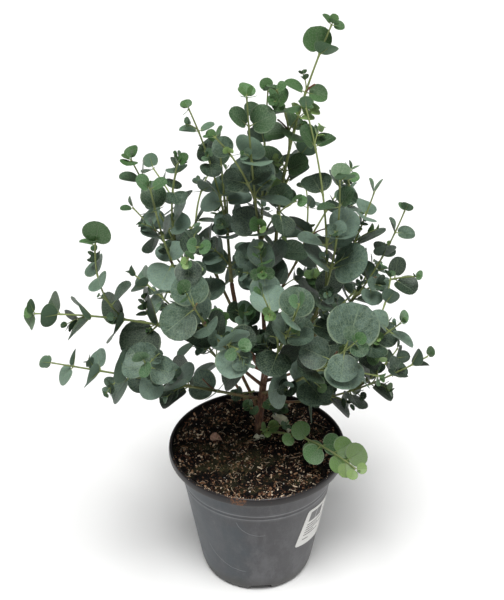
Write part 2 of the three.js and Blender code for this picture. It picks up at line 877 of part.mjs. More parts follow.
const finish = (color, roughness) => new THREE.MeshStandardMaterial({ color, roughness });
const potGrey = finish(0x5c6066, 0.55);
const soilBrown = finish(0x2e241c, 0.95);
const stickerWhite = finish(0xd9d9d6, 0.5);
const barkBrown = finish(0x6b4532, 0.8);
const leafGreen = finish(0x587a6e, 0.6);

const wood = joined(WOOD.map((length) => woodTube(length, 0)));
const woodRoom = joined(WOOD.map((length) => woodTube(length, SEAT_GAP)));

const shoots = allShoots();
growLeaves(shoots);

const plant = new THREE.Group();
plant.add(makePot(potGrey));
plant.add(makeSoil(woodRoom, soilBrown));
plant.add(makeSticker(stickerWhite));
plant.add(named("trunk", wood, barkBrown));
for (const stem of STEMS) {
  const own = shoots.filter((shoot) => shoot.owner === stem.name);
  plant.add(makeLeafyStem(`stem_${stem.name}`, own, woodRoom, leafGreen));
}

export default plant;
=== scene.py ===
"""A young silver-dollar eucalyptus in its nursery pot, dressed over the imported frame.

Sizes are in millimetres and become metres where a mesh is made. The plant is grown by the same
rule as its solids: every stem carries round leaves in opposite pairs, and each leaf bends until
it is clear of its neighbours. Twigs, leaf stalks, buds, sprigs and loose peat are added to it.
"""

from __future__ import annotations

import logging
import math
from dataclasses import dataclass, field, replace
from enum import Enum
from functools import reduce

import bpy
import numpy as np
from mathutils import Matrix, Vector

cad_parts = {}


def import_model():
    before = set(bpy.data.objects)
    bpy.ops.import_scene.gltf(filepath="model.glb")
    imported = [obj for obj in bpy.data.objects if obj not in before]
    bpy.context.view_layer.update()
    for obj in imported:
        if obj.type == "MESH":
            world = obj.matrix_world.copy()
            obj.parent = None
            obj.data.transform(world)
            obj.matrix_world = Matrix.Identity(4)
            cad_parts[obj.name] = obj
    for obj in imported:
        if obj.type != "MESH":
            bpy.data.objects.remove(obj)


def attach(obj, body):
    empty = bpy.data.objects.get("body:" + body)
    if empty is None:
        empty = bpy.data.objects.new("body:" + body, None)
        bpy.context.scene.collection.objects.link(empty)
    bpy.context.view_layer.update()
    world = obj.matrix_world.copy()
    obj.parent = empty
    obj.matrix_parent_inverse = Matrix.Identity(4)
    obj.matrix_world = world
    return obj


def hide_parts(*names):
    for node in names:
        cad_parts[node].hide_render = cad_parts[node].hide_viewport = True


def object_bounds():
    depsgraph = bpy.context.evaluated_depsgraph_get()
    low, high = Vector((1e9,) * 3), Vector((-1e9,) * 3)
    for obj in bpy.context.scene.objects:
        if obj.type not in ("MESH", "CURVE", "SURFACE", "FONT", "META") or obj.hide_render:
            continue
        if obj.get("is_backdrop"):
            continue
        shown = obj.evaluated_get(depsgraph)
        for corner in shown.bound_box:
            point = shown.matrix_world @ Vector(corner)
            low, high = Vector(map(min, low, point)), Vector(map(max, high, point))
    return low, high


LOG = logging.getLogger("eucalyptus")
MM = 0.001
FAR_AWAY = 1e6
UP = np.array([0.0, 0.0, 1.0])
ACROSS = np.array([0.0, 1.0, 0.0])

Array = np.ndarray
Colour = tuple[float, float, float, float]
Spot = tuple[float, float, float]
Bend = tuple[float, float, float, float]


def linear(red: float, green: float, blue: float) -> Colour:
    """Turns a screen colour from 0 to 255 into linear light with full opacity."""
    share = np.array([red, green, blue]) / 255
    light = np.where(share <= 0.04045, share / 12.92, ((share + 0.055) / 1.055) ** 2.4)
    return (*light.tolist(), 1.0)


def unit(vectors: Array) -> Array:
    """Vectors divided by their lengths, along the last axis."""
    return vectors / np.linalg.norm(vectors, axis=-1, keepdims=True)


def ease(values: Array, low: float, high: float) -> Array:
    """Smooth step: 0 below low, 1 above high, and 3s^2 - 2s^3 between them."""
    s = np.clip((values - low) / (high - low), 0, 1)
    return s * s * (3 - 2 * s)


def angles(count: int) -> Array:
    """Evenly spaced angles of a full turn, from 0."""
    return 2 * np.pi * np.arange(count) / count


def polar(radius: Array | float, angle: Array, height: Array | float) -> Array:
    """Points at a radius and an angle about the upright axis, and at a height."""
    flat = radius * np.cos(angle)
    return np.stack([flat, radius * np.sin(angle), height + 0 * flat], -1)


def swung(first: Array, second: Array, angle: float) -> Array:
    """The direction at an angle from the first towards the second: first cos + second sin."""
    return first * math.cos(angle) + second * math.sin(angle)


def hoop(first: Array, second: Array, a: Array) -> Array:
    """For each pair of directions, a ring of directions at the angles a between them."""
    return first[..., None, :] * np.cos(a)[:, None] + second[..., None, :] * np.sin(a)[:, None]


# Shader graphs


class Ink:
    """A socket's value in a Python expression: each operator adds one Math node."""

    def __init__(self, graph: Graph, socket: bpy.types.NodeSocket) -> None:
        """Wraps an output socket of the graph."""
        self.graph = graph
        self.socket = socket

    def _math(self, operation: str, *values: Ink | float) -> Ink:
        """Adds a Math node of that operation on the values."""
        return self.graph.node("ShaderNodeMath", {"operation": operation}, dict(enumerate(values)))

    def __add__(self, other: Ink | float) -> Ink:
        """The sum."""
        return self._math("ADD", self, other)

    __radd__ = __add__

    def __sub__(self, other: Ink | float) -> Ink:
        """The difference."""
        return self._math("SUBTRACT", self, other)

    def __rsub__(self, other: float) -> Ink:
        """The difference from a number on the left."""
        return self._math("SUBTRACT", other, self)

    def __mul__(self, other: Ink | float) -> Ink:
        """The product."""
        return self._math("MULTIPLY", self, other)

    __rmul__ = __mul__

    def __pow__(self, power: float) -> Ink:
        """The power."""
        return self._math("POWER", self, power)

    def __abs__(self) -> Ink:
        """The value without its sign."""
        return self._math("ABSOLUTE", self)

    def most(self, other: Ink | float) -> Ink:
        """The larger of the two."""
        return self._math("MAXIMUM", self, other)

    def part(self) -> Ink:
        """The part after the decimal point."""
        return self._math("FRACT", self)

    def step(self, low: float, high: float) -> Ink:
        """Rises smoothly from 0 at low to 1 at high, or falls where low is the larger."""
        return self.graph.node(
            "ShaderNodeMapRange",
            {"interpolation_type": "SMOOTHSTEP"},
            {"Value": self, "From Min": low, "From Max": high},
        )

    def band(self, low: float, high: float, soft: float) -> Ink:
        """1 between low and high and 0 outside them, with soft ends."""
        return self.step(low - soft, low + soft) * self.step(high + soft, high - soft)


class Graph:
    """One material's nodes around its Principled shader."""

    def __init__(self, name: str, constants: dict[str, float | Colour]) -> None:
        """Makes the material and sets the shader's constant sockets."""
        self.material = bpy.data.materials.new(name)
        self.material.use_nodes = True
        self.tree = self.material.node_tree
        self.shader = self.tree.nodes["Principled BSDF"]
        for socket, value in constants.items():
            self.shader.inputs[socket].default_value = value

    def node(
        self,
        kind: str,
        settings: dict[str, object] | None = None,
        values: dict[str | int, object] | None = None,
        out: str | int = 0,
    ) -> Ink:
        """Adds a node.

        Args:
            kind: the node's type.
            settings: its own properties; "stops" are a ramp's (position, colour) pairs.
            values: numbers, colours or other sockets for its inputs, by name or number.
            out: the output that is handed back.

        Returns:
            The output socket, ready for expressions.
        """
        made = self.tree.nodes.new(kind)
        for key, value in (settings or {}).items():
            if key == "stops":
                ramp = made.color_ramp.elements
                while len(ramp) < len(value):
                    ramp.new(0.5)
                for element, (position, colour) in zip(ramp, value):
                    element.position, element.color = position, colour
            else:
                setattr(made, key, value)
        for key, value in (values or {}).items():
            if isinstance(value, Ink):
                self.tree.links.new(value.socket, made.inputs[key])
            else:
                made.inputs[key].default_value = value
        return Ink(self, made.outputs[out])

    def place(self) -> Ink:
        """The point of the surface, in millimetres."""
        return self.shade(self.node("ShaderNodeTexCoord", out="Object"), 1 / MM)

    def axes(self, vector: Ink) -> tuple[Ink, Ink, Ink]:
        """The three parts of a vector."""
        x = self.node("ShaderNodeSeparateXYZ", values={0: vector})
        return x, *(Ink(self, x.socket.node.outputs[i]) for i in (1, 2))

    def value(self, name: str) -> Ink:
        """A number that the mesh holds for each point."""
        return self.node("ShaderNodeAttribute", {"attribute_name": name}, out="Fac")

    def map(self, name: str) -> tuple[Ink, Ink]:
        """The two coordinates of a UV map."""
        return self.axes(self.node("ShaderNodeUVMap", {"uv_map": name}))[:2]

    def stretched(self, at: Ink, x: float, y: float, z: float) -> Ink:
        """A point whose parts are multiplied, to draw out a pattern."""
        times = {"operation": "MULTIPLY"}
        return self.node("ShaderNodeVectorMath", times, {0: at, 1: (x, y, z)})

    def noise(self, at: Ink, size: float, detail: float = 2.0, rough: float = 0.5) -> Ink:
        """Soft noise from 0 to 1 whose lumps are about size millimetres wide."""
        values = {"Vector": at, "Scale": 1 / size, "Detail": detail, "Roughness": rough}
        return self.node("ShaderNodeTexNoise", None, values)

    def cells(self, at: Ink, size: float, feature: str = "F1") -> Ink:
        """The distance to the middle of a cell, or to its edge, over the cell's size."""
        values = {"Vector": at, "Scale": 1 / size}
        return self.node("ShaderNodeTexVoronoi", {"feature": feature}, values, "Distance")

    def mix(self, share: Ink | float, low: Ink | Colour, high: Ink | Colour) -> Ink:
        """The low colour where the share is 0 and the high one where it is 1."""
        values = {0: share, 6: low, 7: high}
        return self.node("ShaderNodeMix", {"data_type": "RGBA"}, values, 2)

    def shade(self, colour: Ink, amount: Ink | float) -> Ink:
        """A colour made brighter or darker, or a vector made longer or shorter."""
        times = {"operation": "SCALE"}
        return self.node("ShaderNodeVectorMath", times, {0: colour, "Scale": amount})

    def coats(self, colour: Ink | Colour, *coats: tuple[Ink, Colour]) -> Ink:
        """A colour with others laid over it in turn, each as (share, colour)."""
        return reduce(lambda below, coat: self.mix(coat[0], below, coat[1]), coats, colour)

    def ramp(self, share: Ink, stops: list[tuple[float, Colour]]) -> Ink:
        """A colour read off a row of stops."""
        return self.node("ShaderNodeValToRGB", {"stops": stops}, {0: share}, "Color")

    def dressed(self, colour: Ink, rough: Ink, height: Ink, depth: float) -> bpy.types.Material:
        """Links the finish to the shader.

        Args:
            colour: the base colour.
            rough: the roughness.
            height: relief from 0 to 1.
            depth: how deep the relief is, in millimetres.

        Returns:
            The finished material.
        """
        values = {"Height": height, "Distance": depth * MM, "Strength": 1.0}
        normal = self.node("ShaderNodeBump", None, values)
        for socket, ink in (("Base Color", colour), ("Roughness", rough), ("Normal", normal)):
            self.tree.links.new(ink.socket, self.shader.inputs[socket])
        return self.material


# Finishes


@dataclass(frozen=True)
class LeafFinish:
    """A waxy leaf: grey-blue bloom in soft mottles over green, pale midrib and veins, and a pale
    margin that is partly a painted edge highlight.

    The map "blade" runs along the leaf and across it, age goes from old to young, tone is
    chance for each leaf, and under is 1 on the lower side.
    """

    deep: Colour = linear(24, 50, 32)
    bloom: Colour = linear(106, 128, 116)
    fresh: Colour = linear(66, 108, 52)
    lime: Colour = linear(142, 172, 98)
    below: Colour = linear(88, 112, 92)
    vein: Colour = linear(134, 152, 120)
    # the margin's own pale colour, also used as a painted edge highlight
    margin: Colour = linear(134, 150, 122)
    blemish: Colour = linear(82, 72, 50)

    def material(self) -> bpy.types.Material:
        """Builds the leaf material."""
        g = Graph("leaf_wax", {"Specular IOR Level": 0.45})
        at = g.place()
        along, across = g.map("blade")
        age, tone, under = g.value("age"), g.value("tone"), g.value("under")
        side = abs(across - 0.5)
        reach = ((along - 0.5) ** 2 * 3.85 + side**2 * 4.0) ** 0.5
        mottle = g.noise(at, 6, 4, 0.68)
        fine = g.noise(at, 1.0, 3, 0.7)
        midrib = side.step(0.017, 0.003) * along.step(1.0, 0.5) ** 0.6
        wander = (g.noise(at, 4) - 0.5) * 0.9
        lanes = ((along - side * 1.25) * 7.5 + wander).part()
        veins = abs(lanes - 0.5).step(0.43, 0.5) * side.step(0.47, 0.36)
        net = g.cells(at, 2.3, "DISTANCE_TO_EDGE").step(0.12, 0.02)
        old = g.mix((mottle * 1.2 + tone * 0.9 - 0.6).step(0.0, 1.0), self.deep, self.bloom)
        young = g.mix(age.step(0.6, 1.0) * (0.75 + mottle * 0.5), self.fresh, self.lime)
        specks = g.cells(at, 5.5).step(0.1, 0.05) * mottle.step(0.5, 0.62) * (1 - age)
        colour = g.coats(
            g.mix(age.step(0.1, 0.75), old, young),
            (under * 0.55, self.below),
            ((veins * 0.36 + net * 0.3) * (1 - under * 0.5), self.vein),
            (midrib * 0.45, self.vein),
            # pale margin: partly the leaf's own, partly a painted highlight on its edge
            (reach.step(0.955, 0.99) * 0.55, self.margin),
            (specks * 0.5, self.blemish),
        )
        colour = g.shade(colour, 0.68 + tone * 0.48 + (fine - 0.5) * 0.5)
        rough = 0.5 + (mottle - 0.5) * 0.25 + under * 0.12 - age * 0.06
        relief = fine * 0.25 - midrib * 0.8 * (1 - under) - veins * 0.35 - net * 0.12
        return g.dressed(colour, rough, relief, 0.28)


@dataclass(frozen=True)
class TwigFinish:
    """Twig skin: yellow-green where it is young, red-brown to grey where it has turned woody."""

    green: Colour = linear(126, 138, 84)
    olive: Colour = linear(104, 104, 66)
    brown: Colour = linear(78, 66, 54)
    red: Colour = linear(112, 76, 56)
    dust: Colour = linear(142, 142, 118)

    def material(self) -> bpy.types.Material:
        """Builds the twig material."""
        g = Graph("twig_skin", {"Specular IOR Level": 0.35})
        at = g.place()
        age, tone = g.value("age"), g.value("tone")
        streak = g.noise(g.stretched(at, 1, 1, 0.18), 0.9, 3, 0.6)
        patch = g.noise(at, 9, 2)
        stage = age + (patch - 0.5) * 0.5 + (streak - 0.5) * 0.2
        stops = [(0.0, self.brown), (0.18, self.red), (0.34, self.olive), (0.66, self.green)]
        colour = g.ramp(stage, stops)
        colour = g.mix(patch.step(0.55, 0.75) * 0.35, colour, self.dust)
        colour = g.shade(colour, 0.78 + tone * 0.3 + streak * 0.2)
        return g.dressed(colour, 0.62 + (streak - 0.5) * 0.3, streak, 0.25)


@dataclass(frozen=True)
class BarkFinish:
    """Young bark: red-brown with long cracks, tan flakes, and darker towards the soil."""

    dark: Colour = linear(56, 40, 32)
    red: Colour = linear(106, 70, 54)
    flake: Colour = linear(146, 124, 98)
    damp: Colour = linear(58, 50, 40)

    def material(self) -> bpy.types.Material:
        """Builds the bark material."""
        g = Graph("young_bark", {"Specular IOR Level": 0.3})
        at = g.place()
        height = g.axes(at)[2]
        long = g.noise(g.stretched(at, 1, 1, 0.14), 1.5, 4, 0.65)
        flakes = g.cells(g.stretched(at, 1, 1, 0.35), 3.4, "DISTANCE_TO_EDGE")
        patch = g.noise(at, 11, 3)
        colour = g.coats(
            g.ramp(long, [(0.3, self.dark), (0.5, self.red), (0.75, self.flake)]),
            (flakes.step(0.1, 0.02) * 0.6, self.dark),
            (patch.step(0.55, 0.7) * 0.4, self.flake),
            # darker towards the soil at the trunk's foot
            ((height + patch * 12).step(178, 160), self.damp),
        )
        return g.dressed(colour, 0.72 + (long - 0.5) * 0.3, long - flakes.step(0.1, 0) * 0.5, 0.7)


@dataclass(frozen=True)
class PotFinish:
    """Moulded grey plastic: flow lines, pale scuffs and scratches, soil dust and a dark rim, with
    painted reflection streaks, painted highlights on the ring ridges and rim lip, and painted
    shade at the foot's bottom edge.
    """

    blue: Colour = linear(48, 57, 64)
    grey: Colour = linear(58, 57, 60)
    # light serves the real flow lines and the painted reflection streaks
    light: Colour = linear(84, 84, 87)
    foot: Colour = linear(52, 52, 48)
    rim: Colour = linear(24, 20, 21)
    # the colour of the painted highlight on the rim lip's top edge
    lip_highlight: Colour = linear(64, 57, 59)
    dust: Colour = linear(112, 106, 98)
    dirt: Colour = linear(112, 74, 46)
    # used for real scuffs and scratches, and for the painted highlights on the ring ridges
    scratch_and_highlight: Colour = linear(138, 140, 142)
    rim_low: float = 150.0

    def material(self) -> bpy.types.Material:
        """Builds the pot material."""
        g = Graph("nursery_plastic", {"Specular IOR Level": 0.45})
        at = g.place()
        x, y, z = g.axes(at)
        cloud = g.noise(at, 30, 4, 0.62)
        speck = g.noise(at, 1.3, 3, 0.7)
        flow = g.noise(g.stretched(at, 0.12, 0.12, 1), 2.2, 3, 0.6)
        # painted reflection: soft upright streaks of light, strongest on the front of the pot,
        # stand in for the sky reflected in the plastic.
        painted_reflection = g.noise(g.stretched(at, 1, 1, 0.45), 19, 5, 0.68)
        painted_reflection = painted_reflection.step(0.38, 0.68) * (0.45 + 0.55 * (abs(x - 12) + z * 0.2).step(62, 24))
        scuffs = g.noise(g.stretched(at, 1, 1, 0.22), 5.5, 5, 0.75).step(0.58, 0.76)
        scuffs = scuffs * cloud.step(0.42, 0.6) * z.step(6, 40) * z.step(124, 112)
        marks = self._arcs(g, x, y, z)
        foot = (z + (cloud - 0.5) * 30).step(26, 4)
        splash = (z + cloud * 24).step(28, 5) * speck.step(0.52, 0.68)
        # painted highlight: thin light lines on the two ring ridges, also over their down-facing
        # steps, stand in for light caught on their edges
        ridges = z.band(119.6, 121.4, 0.3) + z.band(125.2, 127.2, 0.3)
        under_rim = (z - speck * 5).step(134, 149)
        collar = z.step(self.rim_low, self.rim_low + 1.0)
        front = abs(x + 20).step(13, 4) * y.step(-40, -70)
        grime = collar * (g.noise(at, 2.2, 4, 0.7) + front * 0.16).step(0.63, 0.7)
        colour = g.coats(
            g.mix((x + (cloud - 0.5) * 110).step(-52, 18), self.blue, self.grey),
            # painted reflection streaks in the light colour, broken by speck noise
            (painted_reflection * 0.85 + (speck - 0.5) * 0.6, self.light),
            ((flow - 0.5).step(0.02, 0.3) * 0.2, self.light),
            (scuffs * 0.3, self.scratch_and_highlight),
            (marks * 0.45, self.scratch_and_highlight),
            (foot * 0.8, self.foot),
            (splash * 0.4, self.dust),
            # painted shade: the foot's bottom 5 mm takes the dark rim colour, standing in for the
            # shade under the pot
            (z.step(5, 1), self.rim),
            # painted highlight on the ring ridges, in the scratch colour
            (ridges * (0.4 + painted_reflection * 0.3), self.scratch_and_highlight),
            (under_rim * cloud.step(0.4, 0.7) * 0.3, self.dust),
            (collar, self.rim),
            # painted highlight along the top edge of the rim lip, where it faces the light
            (z.step(158.4, 160) * painted_reflection.step(0.35, 0.6) * 0.7, self.lip_highlight),
            (grime * 0.75, self.dirt),
        )
        rough = 0.38 + (cloud - 0.5) * 0.2 + scuffs * 0.15 + foot * 0.1 + grime * 0.3
        relief = flow * 0.4 + speck * 0.3 - marks * 0.6
        return g.dressed(colour, rough, relief, 0.18)

    @staticmethod
    def _arcs(g: Graph, x: Ink, y: Ink, z: Ink) -> Ink:
        """Hair-thin curved scratches on the front.

        Each is the set of points whose distance from a centre differs from the arc's radius by
        less than a hair, kept on the lower side of that centre.

        Args:
            g: the graph.
            x: the point's place from left to right.
            y: its place from front to back.
            z: its height.

        Returns:
            1 on one of the arcs and 0 elsewhere.
        """
        wander = (g.noise(g.place(), 6) - 0.5) * 1.6
        arcs = []
        for cx, cz, radius, top, end in ((3, 121, 26, 112, 6), (-14, 74, 40, 58, -14)):
            away = ((x - cx) ** 2 + (z - cz) ** 2) ** 0.5 + wander
            arc = abs(away - radius).step(0.55, 0.1) * z.step(top + 3, top)
            arcs.append(arc * x.step(end + 4, end))
        return reduce(Ink.most, arcs) * y.step(0, -20)


@dataclass(frozen=True)
class PeatFinish:
    """Potting peat: dark gaps that are partly painted shade, brown and ochre bits, with moss where
    the mesh says so.
    """

    # dark peat, also used as painted shade in the gaps between crumbs
    black_and_gap_shade: Colour = linear(7, 5, 4)
    brown: Colour = linear(62, 37, 27)
    ochre: Colour = linear(144, 108, 80)
    straw: Colour = linear(226, 206, 180)
    moss: Colour = linear(98, 96, 62)
    name: str = "peat"
    bump: float = 0.8

    def material(self) -> bpy.types.Material:
        """Builds the peat material."""
        g = Graph(self.name, {"Specular IOR Level": 0.2})
        at = g.place()
        tone, moss = g.value("tone"), g.value("moss")
        grain = g.noise(at, 0.9, 3, 0.7)
        clump = g.noise(at, 5, 3, 0.6)
        stage = tone + (grain - 0.5) * 0.4 + (clump - 0.5) * 0.3
        # the darkest stop is partly painted shade: the bed's low tone makes the gaps between
        # crumbs read as shadow
        stops = [(0.26, self.black_and_gap_shade), (0.46, self.brown), (0.7, self.ochre), (0.94, self.straw)]
        colour = g.ramp(stage, stops)
        colour = g.mix(moss * grain.step(0.35, 0.65) * 0.6, colour, self.moss)
        return g.dressed(colour, 0.86 + (grain - 0.5) * 0.2, grain, self.bump)


@dataclass(frozen=True)
class StoneFinish:
    """Perlite: chalk white, a little stained by the peat."""

    white: Colour = linear(214, 208, 200)
    stain: Colour = linear(150, 130, 110)

    def material(self) -> bpy.types.Material:
        """Builds the perlite material."""
        g = Graph("perlite_chalk", {"Specular IOR Level": 0.3})
        grain = g.noise(g.place(), 0.7, 3, 0.7)
        colour = g.mix((grain + g.value("tone") * 0.5).step(0.5, 1.1), self.white, self.stain)
        return g.dressed(colour, 0.8 + grain * 0.1, grain, 0.3)


@dataclass(frozen=True)
class DryFinish:
    """A dead leaf or scrap: dull, wrinkled along its veins, darker in blotches."""

    name: str
    pale: Colour
    dark: Colour

    def material(self) -> bpy.types.Material:
        """Builds the dry material."""
        g = Graph(self.name, {"Specular IOR Level": 0.25})
        at = g.place()
        along, across = g.map("blade")
        side = abs(across - 0.5)
        blotch = g.noise(at, 3.5, 4, 0.65)
        ribs = abs(((along - side) * 9).part() - 0.5).step(0.38, 0.5)
        colour = g.mix((blotch - 0.1).step(0.2, 0.7), self.pale, self.dark)
        colour = g.mix(side.step(0.03, 0.005) * 0.5, colour, self.dark)
        return g.dressed(colour, 0.75 + blotch * 0.1, blotch * 0.6 + ribs * 0.4, 0.5)


@dataclass(frozen=True)
class StickerFinish:
    """Off-white coated paper with a plain block and rows of plain bars, no words."""

    paper: Colour = linear(214, 213, 210)
    print_grey: Colour = linear(62, 62, 64)
    grubby: Colour = linear(166, 158, 146)

    def material(self) -> bpy.types.Material:
        """Builds the sticker material from its map "sheet", 0 to 1 both ways."""
        g = Graph("sticker_paper", {"Specular IOR Level": 0.5})
        at = g.place()
        x, y = g.map("sheet")
        block = x.band(0.1, 0.46, 0.006) * y.band(0.66, 0.92, 0.006)
        block = block * (1 - 0.7 * x.band(0.27, 0.285, 0.004))
        rows = ((0.56, 0.1, 0.7), (0.49, 0.1, 0.42), (0.42, 0.1, 0.8), (0.35, 0.1, 0.34),
                (0.28, 0.1, 0.5), (0.16, 0.1, 0.26), (0.78, 0.56, 0.88), (0.7, 0.56, 0.74))
        bars = reduce(Ink.most, [y.band(low, low + 0.03, 0.004) * x.band(left, right, 0.005)
                                 for low, left, right in rows])
        gaps = g.noise(g.stretched(at, 1, 1, 0.3), 1.9, 2).step(0.3, 0.36)
        wear = g.noise(at, 2.2, 4, 0.7)
        ink = block.most(bars * gaps) * wear.step(0.25, 0.4)
        colour = g.mix(wear.step(0.5, 0.8) * 0.5, self.paper, self.grubby)
        colour = g.mix(ink * 0.85, colour, self.print_grey)
        return g.dressed(colour, 0.42 + wear * 0.2, g.noise(at, 8, 2), 0.25)


@dataclass(frozen=True)
class FloorFinish:
    """Plain pale floor."""

    pale: Colour = linear(244, 244, 243)

    def material(self) -> bpy.types.Material:
        """Builds the floor material."""
        g = Graph("studio_floor", {"Specular IOR Level": 0.1})
        grain = g.noise(g.place(), 300, 2)
        colour = g.mix(grain * 0.1, self.pale, linear(238, 238, 238))
        return g.dressed(colour, 0.9 + grain * 0.05, grain, 0.1)


# Shapes


@dataclass
class Shape:
    """A surface in millimetres: points, quads, triangles, and what each point holds."""

    points: Array
    quads: Array
    tris: Array
    values: dict[str, Array] = field(default_factory=dict)
    uv: Array | None = None

    @staticmethod
    def joined(shapes: list[Shape]) -> Shape:
        """Puts shapes that hold the same values into one."""
        starts = np.cumsum([0] + [len(s.points) for s in shapes])
        return Shape(
            np.concatenate([s.points for s in shapes]),
            np.concatenate([s.quads + n for s, n in zip(shapes, starts)]),
            np.concatenate([s.tris + n for s, n in zip(shapes, starts)]),
            {k: np.concatenate([s.values[k] for s in shapes]) for k in shapes[0].values},
            None if shapes[0].uv is None else np.concatenate([s.uv for s in shapes]),
        )

    def piece(
        self,
        name: str,
        material: bpy.types.Material,
        slot: str,
        nodes: tuple[str, ...] = (),
        uv_name: str = "blade",
        sharp: float = 60.0,
    ) -> bpy.types.Object:
        """Makes the object at the origin and joins it to the frame.

        Args:
            name: the piece's name.
            material: its finish.
            slot: not used.
            nodes: the solids that it stands for.
            uv_name: the name of its map, where it has one.
            sharp: edges turned by more than this many degrees stay crisp.

        Returns:
            The finished piece.
        """
        mesh = bpy.data.meshes.new(name)
        loops = np.concatenate([self.quads.ravel(), self.tris.ravel()]).astype(np.int32)
        quads, tris = len(self.quads), len(self.tris)
        starts = np.concatenate([np.arange(quads) * 4, 4 * quads + np.arange(tris) * 3])
        mesh.vertices.add(len(self.points))
        mesh.vertices.foreach_set("co", (self.points * MM).astype(np.float32).ravel())
        mesh.loops.add(len(loops))
        mesh.loops.foreach_set("vertex_index", loops)
        mesh.polygons.add(quads + tris)
        mesh.polygons.foreach_set("loop_start", starts.astype(np.int32))
        mesh.update(calc_edges=True)
        if self.uv is not None:
            layer = mesh.uv_layers.new(name=uv_name)
            layer.data.foreach_set("uv", self.uv[loops].astype(np.float32).ravel())
        for key, value in self.values.items():
            held = mesh.attributes.new(key, "FLOAT", "POINT")
            held.data.foreach_set("value", value.astype(np.float32))
        mesh.shade_smooth()
        mesh.set_sharp_from_angle(angle=math.radians(sharp))
        mesh.materials.append(material)
        made = bpy.data.objects.new(name, mesh)
        bpy.context.scene.collection.objects.link(made)
        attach(made, "root")
        if nodes:
            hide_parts(*nodes)
        LOG.info("%s: %d faces, for %s", name, quads + tris, ", ".join(nodes) or "detail")
        return made


def lattice(rows: int, columns: int) -> Array:
    """Quads of a grid of rows that closes round its columns, facing out where the columns turn
    anticlockwise about the way in which the rows run."""
    i, j = np.meshgrid(np.arange(rows - 1), np.arange(columns), indexing="ij")
    near, far = i * columns + j, i * columns + (j + 1) % columns
    return np.stack([near, far, far + columns, near + columns], -1).reshape(-1, 4)


def capped(grid: Array, first: Array, last: Array) -> Shape:
    """Closes a grid of rings (rows, columns, 3) with a point before its first and after its last.

    Args:
        grid: the rings' points.
        first: the point that closes the start.
        last: the point that closes the end.

    Returns:
        The closed shape.
    """
    rows, columns = grid.shape[:2]
    count = rows * columns
    j = np.arange(columns)
    after = (j + 1) % columns
    start = np.stack([np.full(columns, count), after, j], -1)
    top = (rows - 1) * columns
    end = np.stack([np.full(columns, count + 1), top + j, top + after], -1)
    points = np.concatenate([grid.reshape(-1, 3), first[None], last[None]])
    return Shape(points, lattice(rows, columns), np.concatenate([start, end]))


def copies(each: int, faces: Array, count: int) -> Array:
    """The faces of count copies of a template of so many points, one after the other."""
    return (faces + (np.arange(count) * each)[:, None, None]).reshape(-1, faces.shape[1])


def held(leaves: list[Leaf], name: str) -> Array:
    """One value of every leaf, as a column."""
    return np.array([getattr(leaf, name) for leaf in leaves])[:, None]


def turns(rng: np.random.Generator, count: int) -> Array:
    """Seeded random rotations (count, 3, 3), from unit quaternions (w, x, y, z)."""
    w, x, y, z = unit(rng.normal(size=(count, 4))).T
    return np.stack(
        [
            np.stack([1 - 2 * (y * y + z * z), 2 * (x * y - w * z), 2 * (x * z + w * y)], -1),
            np.stack([2 * (x * y + w * z), 1 - 2 * (x * x + z * z), 2 * (y * z - w * x)], -1),
            np.stack([2 * (x * z - w * y), 2 * (y * z + w * x), 1 - 2 * (x * x + y * y)], -1),
        ],
        -2,
    )


# Growth

# How the looks move the leaves that the solids have: the full turns in degrees (pitch, roll,
# yaw) of a loosened leaf, the shrinking and swings that are tried for a placed one, and where
# the leaves over the pot's edge face, in what swings and sizes, from the stem's foot to its end.
LOOSE_TURNS = (70, 64, 30)
PLACE_TRIES = ((1, 0), (1, 0.2), (1, -0.2), (0.9, 0), (0.9, 0.4), (0.9, -0.4), (0.8, 0),
               (0.8, 0.5), (0.8, -0.5), (0.7, 0))
EDGE_FACING = (0.1, -0.7, 0.72)
EDGE_SWINGS = (0.0, 0.5, -0.5, 0.9, -0.9, 1.3, -1.3)
EDGE_SIZES = (0.5, 0.8, 0.9, 1.05, 1.3, 1.2)

# The gaps that moved and added leaves keep from their neighbours.
LOOSE_GAP = 0.9
PLACE_GAP = 0.6
EDGE_GAP = 0.7
TIP_GAP = 0.4

# The closing pairs of a shoot: size over its last leaves, spread, way beyond the last pair.
BUDS = ((0.62, 34, 1.2), (0.36, 20, 2.6))

# How many leaf axils carry a sprig, on stems and on side shoots, the share of cut stubs, the
# shortest and longest sprig, the lengths from which it has one pair more than two, and the
# radius and height of the space over the soil that sprigs stay out of.
SPRIG_SHARES = (0.95, 0.65)
STUB_SHARE = 0.13
SPRIG_REACH = (11, 42)
SPRIG_STEPS = (15, 22, 31)
SPRIG_ROOM = (99, 168)

# A sprig's leaf tries these turns on from its spread, in degrees.
SPRIG_TRIES = (0, -16, 18)

# A leaf's age, 0 for old and 1 for young: what it gains at a shoot's tip, by being smaller than
# a size, by being higher than a first height and up to a second, and on a lime sprig, and the
# most that other leaves have.
AGE_TIP = 0.3
AGE_SMALL = (0.45, 18)
AGE_HIGH = (0.3, 390, 570)
AGE_LIME = 0.5
AGE_MOST = 0.62


class Tint(Enum):
    """How a stem's leaves differ from the plant's usual waxy blue-green: age and tone added."""

    WAXY = (0.0, 0.0)
    GREEN = (0.22, -0.15)
    FRESH = (0.66, 0.0)
    DUSKY = (-0.1, -0.6)


@dataclass(frozen=True)
class SideShoot:
    """A shoot on a stem: where it leaves, its tip, its pairs and its largest leaf."""

    at: float
    tip: Spot
    pairs: int
    leaf: float


@dataclass(frozen=True)
class Stem:
    """A leafy stem: start, bend and tip, pairs, largest leaf, radius, bare share, side shoots."""

    name: str
    start: Spot
    bend: Spot
    tip: Spot
    pairs: int
    leaf: float
    radius: float
    bare: float
    shoots: tuple[SideShoot, ...]
    tint: Tint = Tint.WAXY


